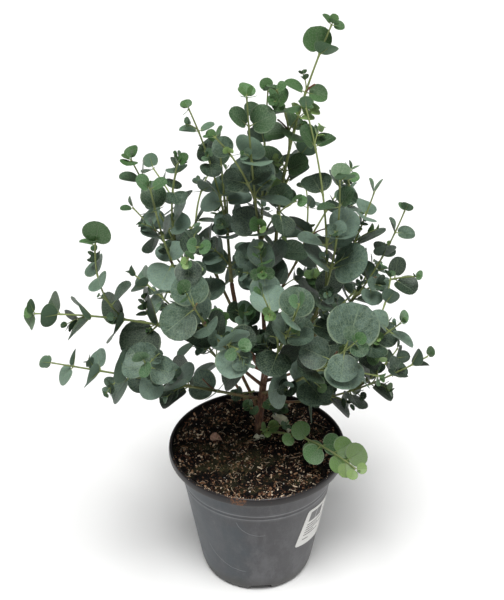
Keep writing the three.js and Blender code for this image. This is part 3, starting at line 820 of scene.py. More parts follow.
@dataclass(frozen=True)
class Curve:
    """The points (1-t)^2 start + 2t(1-t) bend + t^2 tip for t from 0 to 1."""

    start: Array
    bend: Array
    tip: Array

    @staticmethod
    def through(start: Spot, bend: Spot, tip: Spot) -> Curve:
        """The curve of three plain points."""
        return Curve(*(np.array(spot, float) for spot in (start, bend, tip)))

    def point(self, t: Array | float) -> Array:
        """The point or points at t."""
        t = np.asarray(t, float)[..., None]
        return (1 - t) ** 2 * self.start + 2 * t * (1 - t) * self.bend + t * t * self.tip

    def tangent(self, t: Array | float) -> Array:
        """The direction or directions at t."""
        t = np.asarray(t, float)[..., None]
        return unit((1 - t) * (self.bend - self.start) + t * (self.tip - self.bend))

    def length(self) -> float:
        """Its length, over 200 straight steps."""
        points = self.point(np.linspace(0, 1, 201))
        return float(np.linalg.norm(np.diff(points, axis=0), axis=1).sum())

    def frames(self, t: Array | float) -> tuple[Array, Array, Array]:
        """The tangent at t and two directions across it, turned from up, or from across where
        the stem is upright."""
        side = UP if abs(unit(self.tip - self.start)[2]) < 0.75 else ACROSS
        tangent = self.tangent(t)
        first = unit(np.cross(side, tangent))
        return tangent, first, np.cross(tangent, first)


class Draws:
    """Seeded draws between 0 and 1: the state is multiplied by 16807, modulo 2147483647."""

    def __init__(self, seed: int) -> None:
        """Starts from a seed."""
        self.state = seed

    def __call__(self) -> float:
        """The next draw."""
        self.state = self.state * 16807 % 2147483647
        return self.state / 2147483647


@dataclass(frozen=True)
class Feature:
    """A leaf that stands out in the plant: which one it is, and how it faces the viewer.

    The turn is its direction seen from the front, 0 to the right and 90 up, and the tip is how
    far that direction comes forward, both in degrees.
    """

    owner: str
    rank: int
    leaf: int
    turn: float
    tip: float
    size: float
    tone: float


@dataclass
class Leaf:
    """A blade: its root on the stem, its own axes, its size and its look."""

    base: Array
    along: Array
    across: Array
    face: Array
    size: float
    radius: float
    age: float = 0.0
    tone: float = 0.5
    curl: float = 1.0


@dataclass
class Shoot:
    """A growing line with its pairs of leaves."""

    owner: str
    curve: Curve
    pairs: int
    leaf: float
    bare: float
    radii: tuple[float, float]
    seed: int
    tint: Tint
    rank: int = 0
    leaves: list[Leaf] = field(default_factory=list)
    nodes: list[float] = field(default_factory=list)
    turn: float = 0.0


def both(spread: float, swing: float, twist: float, shrink: float) -> tuple[Bend, Bend]:
    """A bend and its mirror image."""
    return (spread, swing, twist, shrink), (spread, -swing, -twist, shrink)


@dataclass(frozen=True)
class Habit:
    """How leaves sit and bend; every number is the solids' own.

    Lengths are in millimetres and angles in degrees. A bend adds to a leaf's spread, swing and
    twist and multiplies its size, and "vary" is how far chance turns a leaf in spread, swing
    and twist, and then its pair. "disc" is the radius that stands for a blade, over its size.
    """

    wide: float = 1.12
    cup: float = 0.1
    droop: float = 0.06
    petiole: float = 0.08
    foot: tuple[float, float] = (4, 18)
    lean: float = 0.6
    light: tuple[float, float] = (0.6, 0.8)
    open_spread: float = 66
    tip_spread: float = 40
    root_half: float = 0.55
    crowding: float = 1.2
    tip_shrink: float = 0.58
    shrink_power: float = 2.4
    spread_power: float = 2.5
    size_low: float = 0.86
    size_vary: float = 0.24
    vary: tuple[float, float, float, float] = (22, 14, 26, 16)
    clearance: float = 1.7
    stem_clearance: float = 0.8
    own_clearance: float = 0.35
    near_base: float = 0.32
    smallest: float = 7
    pot_room: tuple[float, float] = (98, 163)
    disc: float = 0.52
    edge: tuple[tuple[float, float], ...] = (
        (0.14, 0.36), (0.53, 0.5), (0.94, 0.22), (0.94, -0.22), (0.53, -0.5), (0.14, -0.36)
    )
    bends: tuple[Bend, ...] = (
        (0, 0, 0, 1), (-16, 0, 0, 1), (14, 0, 0, 1), *both(0, 20, 0, 1),
        *both(-10, 24, 18, 0.94), (-28, 0, 0, 0.9), (22, 12, -15, 0.9), *both(10, 36, 0, 0.85),
        *both(-20, 30, 30, 0.78), *both(0, 0, 40, 0.7), *both(-30, 45, 0, 0.62),
    )

    def axes(self, base: Array, tangent: Array, outward: Array, spread: float) -> tuple:
        """A blade's line and its flat upper face, which leans to the light from above and
        outside."""
        along = swung(tangent, outward, spread)
        out = base[:2] - np.array(self.foot)
        light = np.append(self.light[0] * unit(out), self.light[1])
        light = light - along * (light @ along)
        flat = tangent * math.sin(spread) - outward * math.cos(spread) + light * self.lean
        return along, unit(flat)

    def bent(
        self,
        base: Array,
        radius: float,
        tangent: Array,
        outward: Array,
        spread: float,
        twist: float,
        size: float,
    ) -> Leaf:
        """The leaf at a spread from the stem and a twist about its own line, in radians."""
        along, flat = self.axes(base, tangent, outward, spread)
        face = swung(flat, np.cross(flat, along), twist)
        return Leaf(base, along, np.cross(face, along), face, size, radius)

    def blade(self, leaf: Leaf, u: Array, w: Array, lift: float = 0.0) -> Array:
        """Points of a blade: u along it and w across it, edges risen into a cup, end curled."""
        u, w = np.asarray(u, float)[..., None], np.asarray(w, float)[..., None]
        start = leaf.radius + self.petiole * leaf.size
        rise = leaf.size * (self.cup * 4 * w * w - self.droop * u * u) + lift
        return (
            leaf.base
            + leaf.along * (start + u * leaf.size)
            + leaf.across * (w * self.wide * leaf.size)
            + leaf.face * rise
        )

    def ring(self, leaf: Leaf) -> Array:
        """The leaf's root, its edge and its root again."""
        edge = np.array(self.edge)
        return np.vstack([leaf.base, self.blade(leaf, edge[:, 0], edge[:, 1]), leaf.base])

    def middle(self, leaf: Leaf) -> Array:
        """The middle of the disc that stands for a blade."""
        return self.blade(leaf, [0.5, 0.5], [0.2, -0.2]).mean(0)


def crosses(
    points: Array, kept: Array, middle: Array, face: Array, radius: Array, gap: Array
) -> Array:
    """Whether lines of points come nearer than a gap to discs, or pass through them.

    A point's height is its offset from the disc's middle along the disc's face. It is too near
    where the height is under the gap inside the grown disc, and a line passes through where the
    height changes sign between two kept points inside it.

    Args:
        points: the lines (n, k, 3).
        kept: which points count (n, k).
        middle: the discs' middles, as (3,) or (n, 1, 3).
        face: their normals, alike.
        radius: their radii, as a number or (n, 1).
        gap: the gap, alike.

    Returns:
        One answer for each line.
    """
    offset = points - middle
    height = (offset * face).sum(-1)
    reach = np.sqrt(np.maximum(0, (offset**2).sum(-1) - height**2))
    near = kept & (np.abs(height) < gap) & (reach < radius + gap)
    low, high = height[:, :-1], height[:, 1:]
    through = kept[:, :-1] & kept[:, 1:] & (low * high < 0)
    share = np.where(through, low, 0) / np.where(through, low - high, 1)
    at = offset[:, :-1] + (offset[:, 1:] - offset[:, :-1]) * share[..., None]
    through &= np.linalg.norm(at, axis=-1) < radius + gap
    return near.any(-1) | through.any(-1)


class Crowd:
    """Leaves and stem lines that new leaves are kept clear of, held as arrays.

    There is room for a number of leaves and lines. Only leaves and lines whose reach is within
    a few millimetres of a new one are looked at.
    """

    ROOM = 6000
    LINE_ROOM = 900
    LINE_POINTS = 44
    NEAR = 4
    MARGIN = 12
    SKIN = 0.4

    def __init__(self, habit: Habit) -> None:
        """Starts empty."""
        self.habit = habit
        self.count = self.lines = 0
        edge = len(habit.edge) + 2
        self.ring = np.zeros((self.ROOM, edge, 3))
        self.middle, self.face, self.base = (np.zeros((self.ROOM, 3)) for _ in range(3))
        self.size, self.radius = np.zeros(self.ROOM), np.zeros(self.ROOM)
        self.parts = (self.ring, self.middle, self.face, self.base, self.size, self.radius)
        self.line = np.zeros((self.LINE_ROOM, self.LINE_POINTS, 3))
        self.line_middle = np.zeros((self.LINE_ROOM, 3))
        self.line_reach, self.line_radius = (np.zeros(self.LINE_ROOM) for _ in range(2))

    def add_line(self, curve: Curve, radius: float, step: float = 7.0) -> None:
        """Adds the points that stand for a stem, a step apart."""
        steps = max(3, math.ceil(np.linalg.norm(curve.tip - curve.start) / step))
        points = curve.point(np.minimum(np.arange(self.LINE_POINTS), steps) / steps)
        i = self.lines
        self.line[i], self.line_radius[i] = points, radius
        self.line_middle[i] = (points[0] + points[-1]) / 2
        self.line_reach[i] = np.linalg.norm(points - self.line_middle[i], axis=1).max()
        self.lines += 1

    def _row(self, leaf: Leaf) -> tuple[Array | float, ...]:
        """What is held for a leaf, in the order of the parts."""
        habit = self.habit
        return (habit.ring(leaf), habit.middle(leaf), leaf.face, leaf.base, leaf.size,
                habit.disc * leaf.size)

    def add(self, leaf: Leaf) -> None:
        """Adds a leaf."""
        for part, value in zip(self.parts, self._row(leaf)):
            part[self.count] = value
        self.count += 1

    def move(self, leaf: Leaf, new: Leaf, clearance: float) -> bool:
        """Puts a leaf in a new attitude where that is clear, and says whether it was."""
        away = np.linalg.norm(self.middle[: self.count] - self.habit.middle(leaf), axis=1)
        i = int(np.argmin(away))
        old = [part[i].copy() for part in self.parts]
        self.ring[i] = self.middle[i] = self.base[i] = FAR_AWAY
        clear = self.is_clear(new, clearance)
        for part, before, after in zip(self.parts, old, self._row(new)):
            part[i] = after if clear else before
        return clear

    def is_clear(self, leaf: Leaf, clearance: float, stem_clearance: float = 0.1) -> bool:
        """Whether a leaf keeps its distance from the pot, the stems and the other leaves."""
        habit = self.habit
        ring, middle, radius = habit.ring(leaf), habit.middle(leaf), habit.disc * leaf.size
        room, top = habit.pot_room
        if ((np.hypot(ring[:, 0], ring[:, 1]) < room) & (ring[:, 2] < top)).any():
            return False
        spare = habit.near_base * leaf.size
        near = np.linalg.norm(self.line_middle[: self.lines] - middle, axis=1)
        near = np.flatnonzero(near <= self.line_reach[: self.lines] + radius + self.MARGIN)
        points = self.line[near]
        kept = np.linalg.norm(points - leaf.base, axis=-1) >= spare
        gap = self.line_radius[near][:, None] + stem_clearance
        if crosses(points, kept, middle, leaf.face, radius, gap).any():
            return False
        near = self._near(middle, radius)
        if not len(near):
            return True
        points = self.ring[near]
        kept = np.linalg.norm(points - leaf.base, axis=-1) >= spare
        if crosses(points, kept, middle, leaf.face, radius, clearance).any():
            return False
        mine = np.repeat(ring[None], len(near), axis=0)
        kept = np.linalg.norm(mine - self.base[near][:, None], axis=-1)
        kept = kept >= habit.near_base * self.size[near][:, None]
        return not self._hits(mine, kept, near, clearance)

    def _near(self, middle: Array, reach: float) -> Array:
        """The numbers of the leaves whose discs may come within reach of a point."""
        away = np.linalg.norm(self.middle[: self.count] - middle, axis=1)
        return np.flatnonzero(away <= self.radius[: self.count] + reach + self.NEAR)

    def _hits(self, lines: Array, kept: Array, near: Array, gap: float) -> bool:
        """Whether any line comes nearer than the gap to the leaf of its number."""
        discs = self.middle[near][:, None], self.face[near][:, None], self.radius[near][:, None]
        return bool(crosses(lines, kept, *discs, gap).any())

    def line_is_clear(self, curve: Curve, radius: float, spare: float) -> bool:
        """Whether a new line passes no leaf nearer than its own skin, away from its start."""
        points = curve.point(np.linspace(0, 1, 8))
        near = self._near(curve.point(0.5), float(np.linalg.norm(curve.tip - curve.start)))
        mine = np.repeat(points[None], len(near), axis=0)
        kept = np.linalg.norm(mine - curve.start, axis=-1) > spare
        return not self._hits(mine, kept, near, radius + self.SKIN)


@dataclass
class Plant:
    """Grows every shoot by the habit, then the small growth that only the looks have.

    "low" and "high" are the corners of the solids' box. A side shoot bends at a share of its
    length towards its tip and another along the stem. "view" is the camera's pitch in degrees.
    """

    stems: tuple[Stem, ...]
    wood: tuple[tuple[tuple[float, ...], ...], ...]
    low: Array
    high: Array
    habit: Habit = field(default_factory=Habit)
    shoot_radius: float = 1.4
    tip_radius: float = 0.9
    shoot_bare: float = 0.25
    shoot_bend: tuple[float, float] = (0.3, 0.25)
    shoots: list[Shoot] = field(default_factory=list)
    sprouts: tuple[Shoot, ...] = ()
    features: tuple[Feature, ...] = ()
    view: float = 59.3

    def grow(self) -> None:
        """Lays the shoots out and gives each its leaves, tips and sprigs."""
        self.crowd = Crowd(self.habit)
        for number, stem in enumerate(self.stems):
            self._lay_out(number, stem)
        for shoot in self.shoots:
            self.crowd.add_line(shoot.curve, shoot.radii[0])
        for start, bend, tip, radii in self.wood:
            self.crowd.add_line(Curve.through(start, bend, tip), radii[0])
        for shoot in self.shoots:
            self._open_pairs(shoot)
        LOG.info("%d leaves shared with the solids", self.crowd.count)
        for shoot in self.shoots:
            (self._turn_out if shoot.tint is Tint.FRESH else self._loosen)(shoot)
        for feature in self.features:
            self._place(feature)
        rng = np.random.default_rng(41)
        for sprout in self.sprouts:
            if sprout.pairs:
                self._open_sprig(sprout, rng)
            else:
                self._cut_off(sprout)
        for shoot in list(self.shoots):
            self._add_tip(shoot, rng)
        for shoot in [shoot for shoot in self.shoots if shoot.tint is not Tint.FRESH]:
            self._add_sprigs(shoot, rng)
        LOG.info("%d leaves in all", self.crowd.count)

    def _lay_out(self, number: int, stem: Stem) -> None:
        """Adds a stem's own line and those of its side shoots."""
        main = Curve.through(stem.start, stem.bend, stem.tip)
        radii = (stem.radius, self.tip_radius)
        seed = 101 + 37 * number
        parts = (stem.name, main, stem.pairs, stem.leaf, stem.bare, radii, seed, stem.tint)
        self.shoots.append(Shoot(*parts))
        for k, side in enumerate(stem.shoots):
            start, tip = main.point(side.at), np.array(side.tip, float)
            reach = float(np.linalg.norm(tip - start))
            bend = start + unit(tip - start) * self.shoot_bend[0] * reach
            bend = bend + main.tangent(side.at) * self.shoot_bend[1] * reach
            radii = (self.shoot_radius, self.tip_radius)
            seed = 4001 + 37 * number + 11 * k
            line = Curve(start, bend, tip)
            parts = (stem.name, line, side.pairs, side.leaf, self.shoot_bare, radii, seed)
            self.shoots.append(Shoot(*parts, stem.tint, 1))

    def _open_pairs(self, shoot: Shoot) -> None:
        """Gives a shoot its pairs; each leaf takes the first bend in which it is clear."""
        habit, curve, draw = self.habit, shoot.curve, Draws(shoot.seed)
        turn = draw() * math.pi
        last = 1 - habit.root_half / curve.length()
        shoot.turn = turn
        for k in range(shoot.pairs):
            share = k / (shoot.pairs - 1) if shoot.pairs > 1 else 1.0
            t = shoot.bare + (last - shoot.bare) * (1 - (1 - share) ** habit.crowding)
            shoot.nodes.append(t)
            base = curve.point(t)
            radius = shoot.radii[0] + (shoot.radii[1] - shoot.radii[0]) * t
            station = turn + math.radians(habit.vary[3]) * (draw() - 0.5)
            full = shoot.leaf * (1 - habit.tip_shrink * share**habit.shrink_power)
            size = full * (habit.size_low + habit.size_vary * draw())
            spread = habit.tip_spread - habit.open_spread
            spread = habit.open_spread + spread * share**habit.spread_power
            tangent, first, second = curve.frames(t)
            for side in (k % 4, (k + 2) % 4):
                chance = [v * (draw() - 0.5) for v in habit.vary[:3]]
                straight = station + side * math.pi / 2
                facing = swung(first, second, straight)
                for d_spread, d_swing, d_twist, shrink in habit.bends:
                    if size * shrink < habit.smallest:
                        continue
                    swing = straight + math.radians(chance[1] + d_swing)
                    outward = swung(first, second, swing)
                    lean = math.radians(spread + chance[0] + d_spread)
                    twist = math.radians(chance[2] + d_twist)
                    leaf = habit.bent(base, radius, tangent, outward, lean, twist, size * shrink)
                    edge = (habit.ring(leaf)[1:-1] - base) @ facing
                    if (edge <= radius + habit.own_clearance).any():
                        continue
                    if self.crowd.is_clear(leaf, habit.clearance, habit.stem_clearance):
                        self._take(shoot, leaf, share)
                        break

    def _take(self, shoot: Shoot, leaf: Leaf, share: float) -> None:
        """Keeps a leaf. Small leaves and those near a tip are young."""
        chance = math.sin(12.9898 * leaf.base[0] + 78.233 * leaf.base[2]) * 43758.5453 % 1.0
        gain, size = AGE_SMALL
        young = AGE_TIP * max(0.0, (share - 0.5) / 0.5)
        young += gain * max(0.0, (size - leaf.size) / size)
        lime = shoot.rank == 2 and shoot.seed % 10 < 2
        young = young * (0.5 if shoot.rank == 2 else 1.0) + AGE_LIME * lime
        young += AGE_HIGH[0] * float(ease(leaf.base[2], *AGE_HIGH[1:]))
        most = 1.0 if lime or shoot.tint is Tint.FRESH else AGE_MOST
        leaf.age = min(most, max(0.0, young + 0.16 * (chance - 0.3) + shoot.tint.value[0]))
        leaf.tone = min(1.0, max(0.0, (chance * 7.3) % 1.0 + shoot.tint.value[1]))
        leaf.curl = 0.4 + 1.2 * ((chance * 3.7) % 1.0)
        shoot.leaves.append(leaf)
        self.crowd.add(leaf)

    def _loosen(self, shoot: Shoot) -> None:
        """Turns each leaf of a shoot about its root and shrinks it, as growth and wind do. The
        turn is halved, then turned back, where it would meet something."""
        draw = Draws(shoot.seed + 5)
        scale = (0.88 + 0.34 * draw()) * (0.92 if shoot.owner.startswith("back") else 1)
        for k, leaf in enumerate(shoot.leaves):
            size = leaf.size * scale * (0.9 + 0.24 * draw())
            turn = [math.radians(v) * (draw() - 0.5) for v in LOOSE_TURNS]
            for share in (1.0, 0.5, -0.5, 0.0):
                pitch, roll, yaw = (v * share for v in turn)
                along = swung(leaf.along, leaf.face, pitch)
                along = unit(swung(along, leaf.across, yaw))
                across = swung(leaf.across, leaf.face, roll)
                across = unit(across - along * (across @ along))
                face = np.cross(along, across)
                new = replace(leaf, along=along, across=across, face=face, size=size)
                if self._inside(self.habit.ring(new)) and self.crowd.move(leaf, new, LOOSE_GAP):
                    shoot.leaves[k] = new
                    break

    def _place(self, feature: Feature) -> None:
        """Sets one leaf as a feature says, smaller where it would meet another leaf."""
        key = feature.owner, feature.rank
        shoot = next(shoot for shoot in self.shoots if (shoot.owner, shoot.rank) == key)
        leaf = shoot.leaves[feature.leaf]
        pitch, turn, tip = (math.radians(v) for v in (self.view, feature.turn, feature.tip))
        upward = np.array([0, math.cos(pitch), math.sin(pitch)])
        toward = np.array([0, -math.sin(pitch), math.cos(pitch)])
        across = swung(np.array([1.0, 0, 0]), upward, turn)
        for shrink, swing in PLACE_TRIES:
            flat = swung(across, np.cross(toward, across), swing)
            along, face = swung(flat, toward, tip), swung(toward, flat, -tip)
            new = replace(leaf, along=along, across=np.cross(face, along), face=face,
                          size=feature.size * shrink, tone=feature.tone)
            if self.crowd.move(leaf, new, PLACE_GAP):
                shoot.leaves[feature.leaf] = new
                return
        LOG.info("no room for the leaf %s %d", feature.owner, feature.leaf)

    def _turn_out(self, shoot: Shoot) -> None:
        """Turns the leaves of a shoot that lies over the pot's edge to face out and up, where
        there is room: the blade's line is laid into the plane across that direction, and then
        swung about it if it would meet another leaf."""
        out = unit(np.array(EDGE_FACING))
        for k, leaf in enumerate(shoot.leaves):
            flat = unit(leaf.along - out * (leaf.along @ out) * 0.9)
            size = leaf.size * EDGE_SIZES[min(k // 2, len(EDGE_SIZES) - 1)]
            for swing in EDGE_SWINGS:
                along = swung(flat, np.cross(out, flat), swing)
                face = unit(out - along * (out @ along))
                new = replace(leaf, along=unit(along), across=np.cross(face, along), face=face,
                              size=size)
                if self.crowd.move(leaf, new, EDGE_GAP):
                    shoot.leaves[k] = new
                    break

    def _inside(self, points: Array, room: float = 0.3) -> bool:
        """Whether points stay inside the solids' box by so much room."""
        return bool((points > self.low + room).all() and (points < self.high - room).all())

    def _fits(self, leaf: Leaf, gap: float = LOOSE_GAP) -> bool:
        """Whether a small leaf is clear and stays inside the solids' box."""
        return self._inside(self.habit.ring(leaf)) and self.crowd.is_clear(leaf, gap)

    def _add_tip(self, shoot: Shoot, rng: np.random.Generator) -> None:
        """Adds two closing pairs of bud leaves at a shoot's end."""
        curve, t = shoot.curve, shoot.nodes[-1]
        tangent, first, second = curve.frames(t)
        size = shoot.leaf * (1 - self.habit.tip_shrink)
        for k, (shrink, spread, ahead) in enumerate(BUDS):
            turn = shoot.turn + (shoot.pairs + k) * math.pi / 2
            for side in (0.0, math.pi):
                swing = turn + side + rng.normal(0, 0.12)
                outward = swung(first, second, swing)
                lean = math.radians(spread + rng.normal(0, 5))
                base = curve.point(t) + tangent * ahead
                leaf = self.habit.bent(base, 0.5, tangent, outward, lean, 0.0, size * shrink)
                if self._fits(leaf, TIP_GAP):
                    self._take(shoot, leaf, 1.0)
                    leaf.age = min(1.0, leaf.age + 0.06)

    def _add_sprigs(self, shoot: Shoot, rng: np.random.Generator) -> None:
        """Adds short young shoots in the leaf axils, where there is room for them."""
        curve = shoot.curve
        for t in shoot.nodes[: -1 if shoot.rank else -2]:
            for side in (0.0, math.pi):
                if rng.random() > SPRIG_SHARES[min(shoot.rank, 1)]:
                    continue
                at = t + 1.5 / curve.length()
                tangent, first, second = curve.frames(at)
                swing = shoot.turn + side + shoot.nodes.index(t) * math.pi / 2
                swing += rng.normal(0, 0.35)
                outward = swung(first, second, swing)
                reach = rng.uniform(*SPRIG_REACH) * (0.55 + 0.45 * (1 - t))
                out = unit(tangent * rng.uniform(0.7, 1.2) + outward + UP * 0.2)
                start = curve.point(at)
                tip = start + out * reach
                line = Curve(start, start + unit(out + tangent) * reach * 0.5, tip)
                pairs = 2 + sum(reach > step for step in SPRIG_STEPS)
                radii = (0.75 if reach < 20 else 0.95, 0.4)
                seed = int(rng.integers(1, 2**30))
                size = 5 + reach * rng.uniform(0.2, 0.4)
                sprig = Shoot(shoot.owner, line, pairs, size, 0.3, radii, seed, shoot.tint, 2)
                in_pot = np.hypot(*tip[:2]) < SPRIG_ROOM[0] and tip[2] < SPRIG_ROOM[1]
                free = self._inside(tip, 2.0) and self.crowd.line_is_clear(line, 0.7, 3.0)
                if in_pot or not free:
                    continue
                if rng.random() < STUB_SHARE:
                    self._cut_off(sprig)
                else:
                    self._open_sprig(sprig, rng)

    def _cut_off(self, sprig: Shoot) -> None:
        """Leaves a bare brown stub where a side shoot was cut off."""
        curve = sprig.curve
        end = curve.point(0.62)
        sprig.curve = Curve(curve.start, curve.start + (curve.bend - curve.start) * 0.6, end)
        sprig.rank, sprig.radii, sprig.nodes = 3, (1.15, 0.85), [0.98]
        self.crowd.add_line(sprig.curve, sprig.radii[0])
        self.shoots.append(sprig)

    def _open_sprig(self, sprig: Shoot, rng: np.random.Generator) -> None:
        """Gives a sprig its pairs, and keeps it if at least two leaves have room."""
        curve = sprig.curve
        taken = 0
        sprig.turn = rng.uniform(0, math.pi)
        for k in range(sprig.pairs):
            share = (k + 1) / sprig.pairs
            t = min(sprig.bare + (1 - sprig.bare) * share, 0.985)
            base = curve.point(t)
            tangent, first, second = curve.frames(t)
            size = sprig.leaf * (1.1 - 0.55 * share) * rng.uniform(0.85, 1.15)
            for side in (0.0, math.pi):
                swing = sprig.turn + k * math.pi / 2 + side
                outward = swung(first, second, swing)
                for extra in SPRIG_TRIES:
                    lean = math.radians(62 - 30 * share + extra + rng.normal(0, 5))
                    twist = rng.normal(0, 0.2)
                    leaf = self.habit.bent(base, 0.6, tangent, outward, lean, twist, size)
                    if self._fits(leaf):
                        self._take(sprig, leaf, share)
                        taken += 1
                        break
            sprig.nodes.append(t)
        if taken >= 2:
            self.crowd.add_line(curve, sprig.radii[0])
            self.shoots.append(sprig)


@dataclass(frozen=True)
class BladeMould:
    """The mesh of a blade, polar about its middle: rings out to a thin shared margin, the same
    rings below. Angles crowd towards the root, where the edge folds in like a heart."""

    segments: int
    rings: tuple[float, ...]
    thick: float = 0.3
    habit: Habit = field(default_factory=Habit)

    def _grid(self) -> tuple[Array, Array, Array]:
        """Reach, angle and side (1 above, -1 below, 0 on the margin) of every point."""
        j = angles(self.segments)
        angle = j + 0.3 * np.sin(j)
        inner, turn = np.meshgrid(self.rings[:-1], angle, indexing="ij")
        inner, turn = inner.ravel(), turn.ravel()
        reach = np.concatenate([[0], inner, np.ones(self.segments), inner, [0]])
        turn = np.concatenate([[0], turn, angle, turn, [0]])
        count = len(inner)
        side = np.repeat([1, 0, -1], [1 + count, self.segments, 1 + count])
        return reach, turn, side

    def _faces(self) -> tuple[Array, Array]:
        """Quads between rings, and triangles to the middle, above and below."""
        s, n = self.segments, len(self.rings)
        j = np.arange(s)
        after = (j + 1) % s
        above = [1 + k * s for k in range(n)]
        rim = above[-1]
        below = [rim + s + k * s for k in range(n - 1)] + [rim]
        upper = [np.stack([a + j, b + j, b + after, a + after], -1)
                 for a, b in zip(above, above[1:])]
        lower = [np.stack([a + j, a + after, b + after, b + j], -1)
                 for a, b in zip(below, below[1:])]
        tris = [np.stack([np.zeros(s, int), 1 + j, 1 + after], -1),
                np.stack([np.full(s, rim + n * s), below[0] + after, below[0] + j], -1)]
        return np.concatenate(upper + lower), np.concatenate(tris)

    def cast(self, leaves: list[Leaf], rng: np.random.Generator) -> Shape:
        """Casts all the leaves at once.

        A point at reach p and angle a lies at u = 0.47 + 0.51 p r cos a along the blade and
        w = 0.5 p r sin a across it, where r = 1 less a narrow dip at the root and a slight one
        at the tip, plus a small wave. Its rise adds a cup 4w^2, a curl u^2, a crease along the
        middle and a wave of the margin to the flat blade.

        Args:
            leaves: what is cast.
            rng: gives each blade its own dips and waves.

        Returns:
            The closed blades, with their map, age, tone and side.
        """
        reach, angle, side = self._grid()
        n = len(leaves)
        draw = rng.uniform(-1, 1, (10, n, 1))
        size = held(leaves, "size")
        back = np.abs(np.mod(angle, 2 * np.pi) - np.pi)
        front = np.pi - back
        outline = 1 - (0.15 + 0.06 * draw[0]) * np.exp(-((back / 0.3) ** 2))
        outline = outline - (0.025 + 0.03 * draw[1]) * np.exp(-((front / 0.22) ** 2))
        outline = outline + 0.014 * draw[2] * np.sin(3 * angle + 4 * draw[3])
        outline = outline + 0.01 * draw[4] * np.sin(5 * angle + 5 * draw[5])
        span = reach * outline
        u = 0.47 + 0.51 * span * np.cos(angle)
        w = 0.5 * span * np.sin(angle) * (1 + 0.05 * draw[6])
        cup = self.habit.cup * (1 + 0.8 * draw[7])
        curl = self.habit.droop * held(leaves, "curl")
        rise = cup * 4 * w * w - curl * u * u
        rise = rise + 0.09 * np.clip(draw[8], 0, 1) * (np.abs(w) - 0.12)
        rise = rise - 0.014 * np.exp(-((w / 0.07) ** 2)) * (side >= 0)
        rise = rise + 0.08 * draw[9] * w * w * np.sin(2 * angle + 6 * draw[3])
        lift = self.thick * side * (1 - 0.5 * reach**2) * np.sqrt(np.clip(size / 30, 0.3, 1))
        start = held(leaves, "radius") + self.habit.petiole * size
        points = held(leaves, "base") + held(leaves, "along") * (start + u * size)[..., None]
        points = points + held(leaves, "across") * (w * self.habit.wide * size)[..., None]
        points = points + held(leaves, "face") * (rise * size + lift)[..., None]
        quads, tris = self._faces()
        every = np.ones((n, len(reach)))
        values = {
            "age": (held(leaves, "age") * every).ravel(),
            "tone": (held(leaves, "tone") * every).ravel(),
            "under": ((side < 0) * every).ravel(),
        }
        flat = points.reshape(-1, 3)
        uv = np.stack([u * every, w + 0.5], -1).reshape(-1, 2)
        return Shape(flat, copies(len(reach), quads, n), copies(len(reach), tris, n), values, uv)


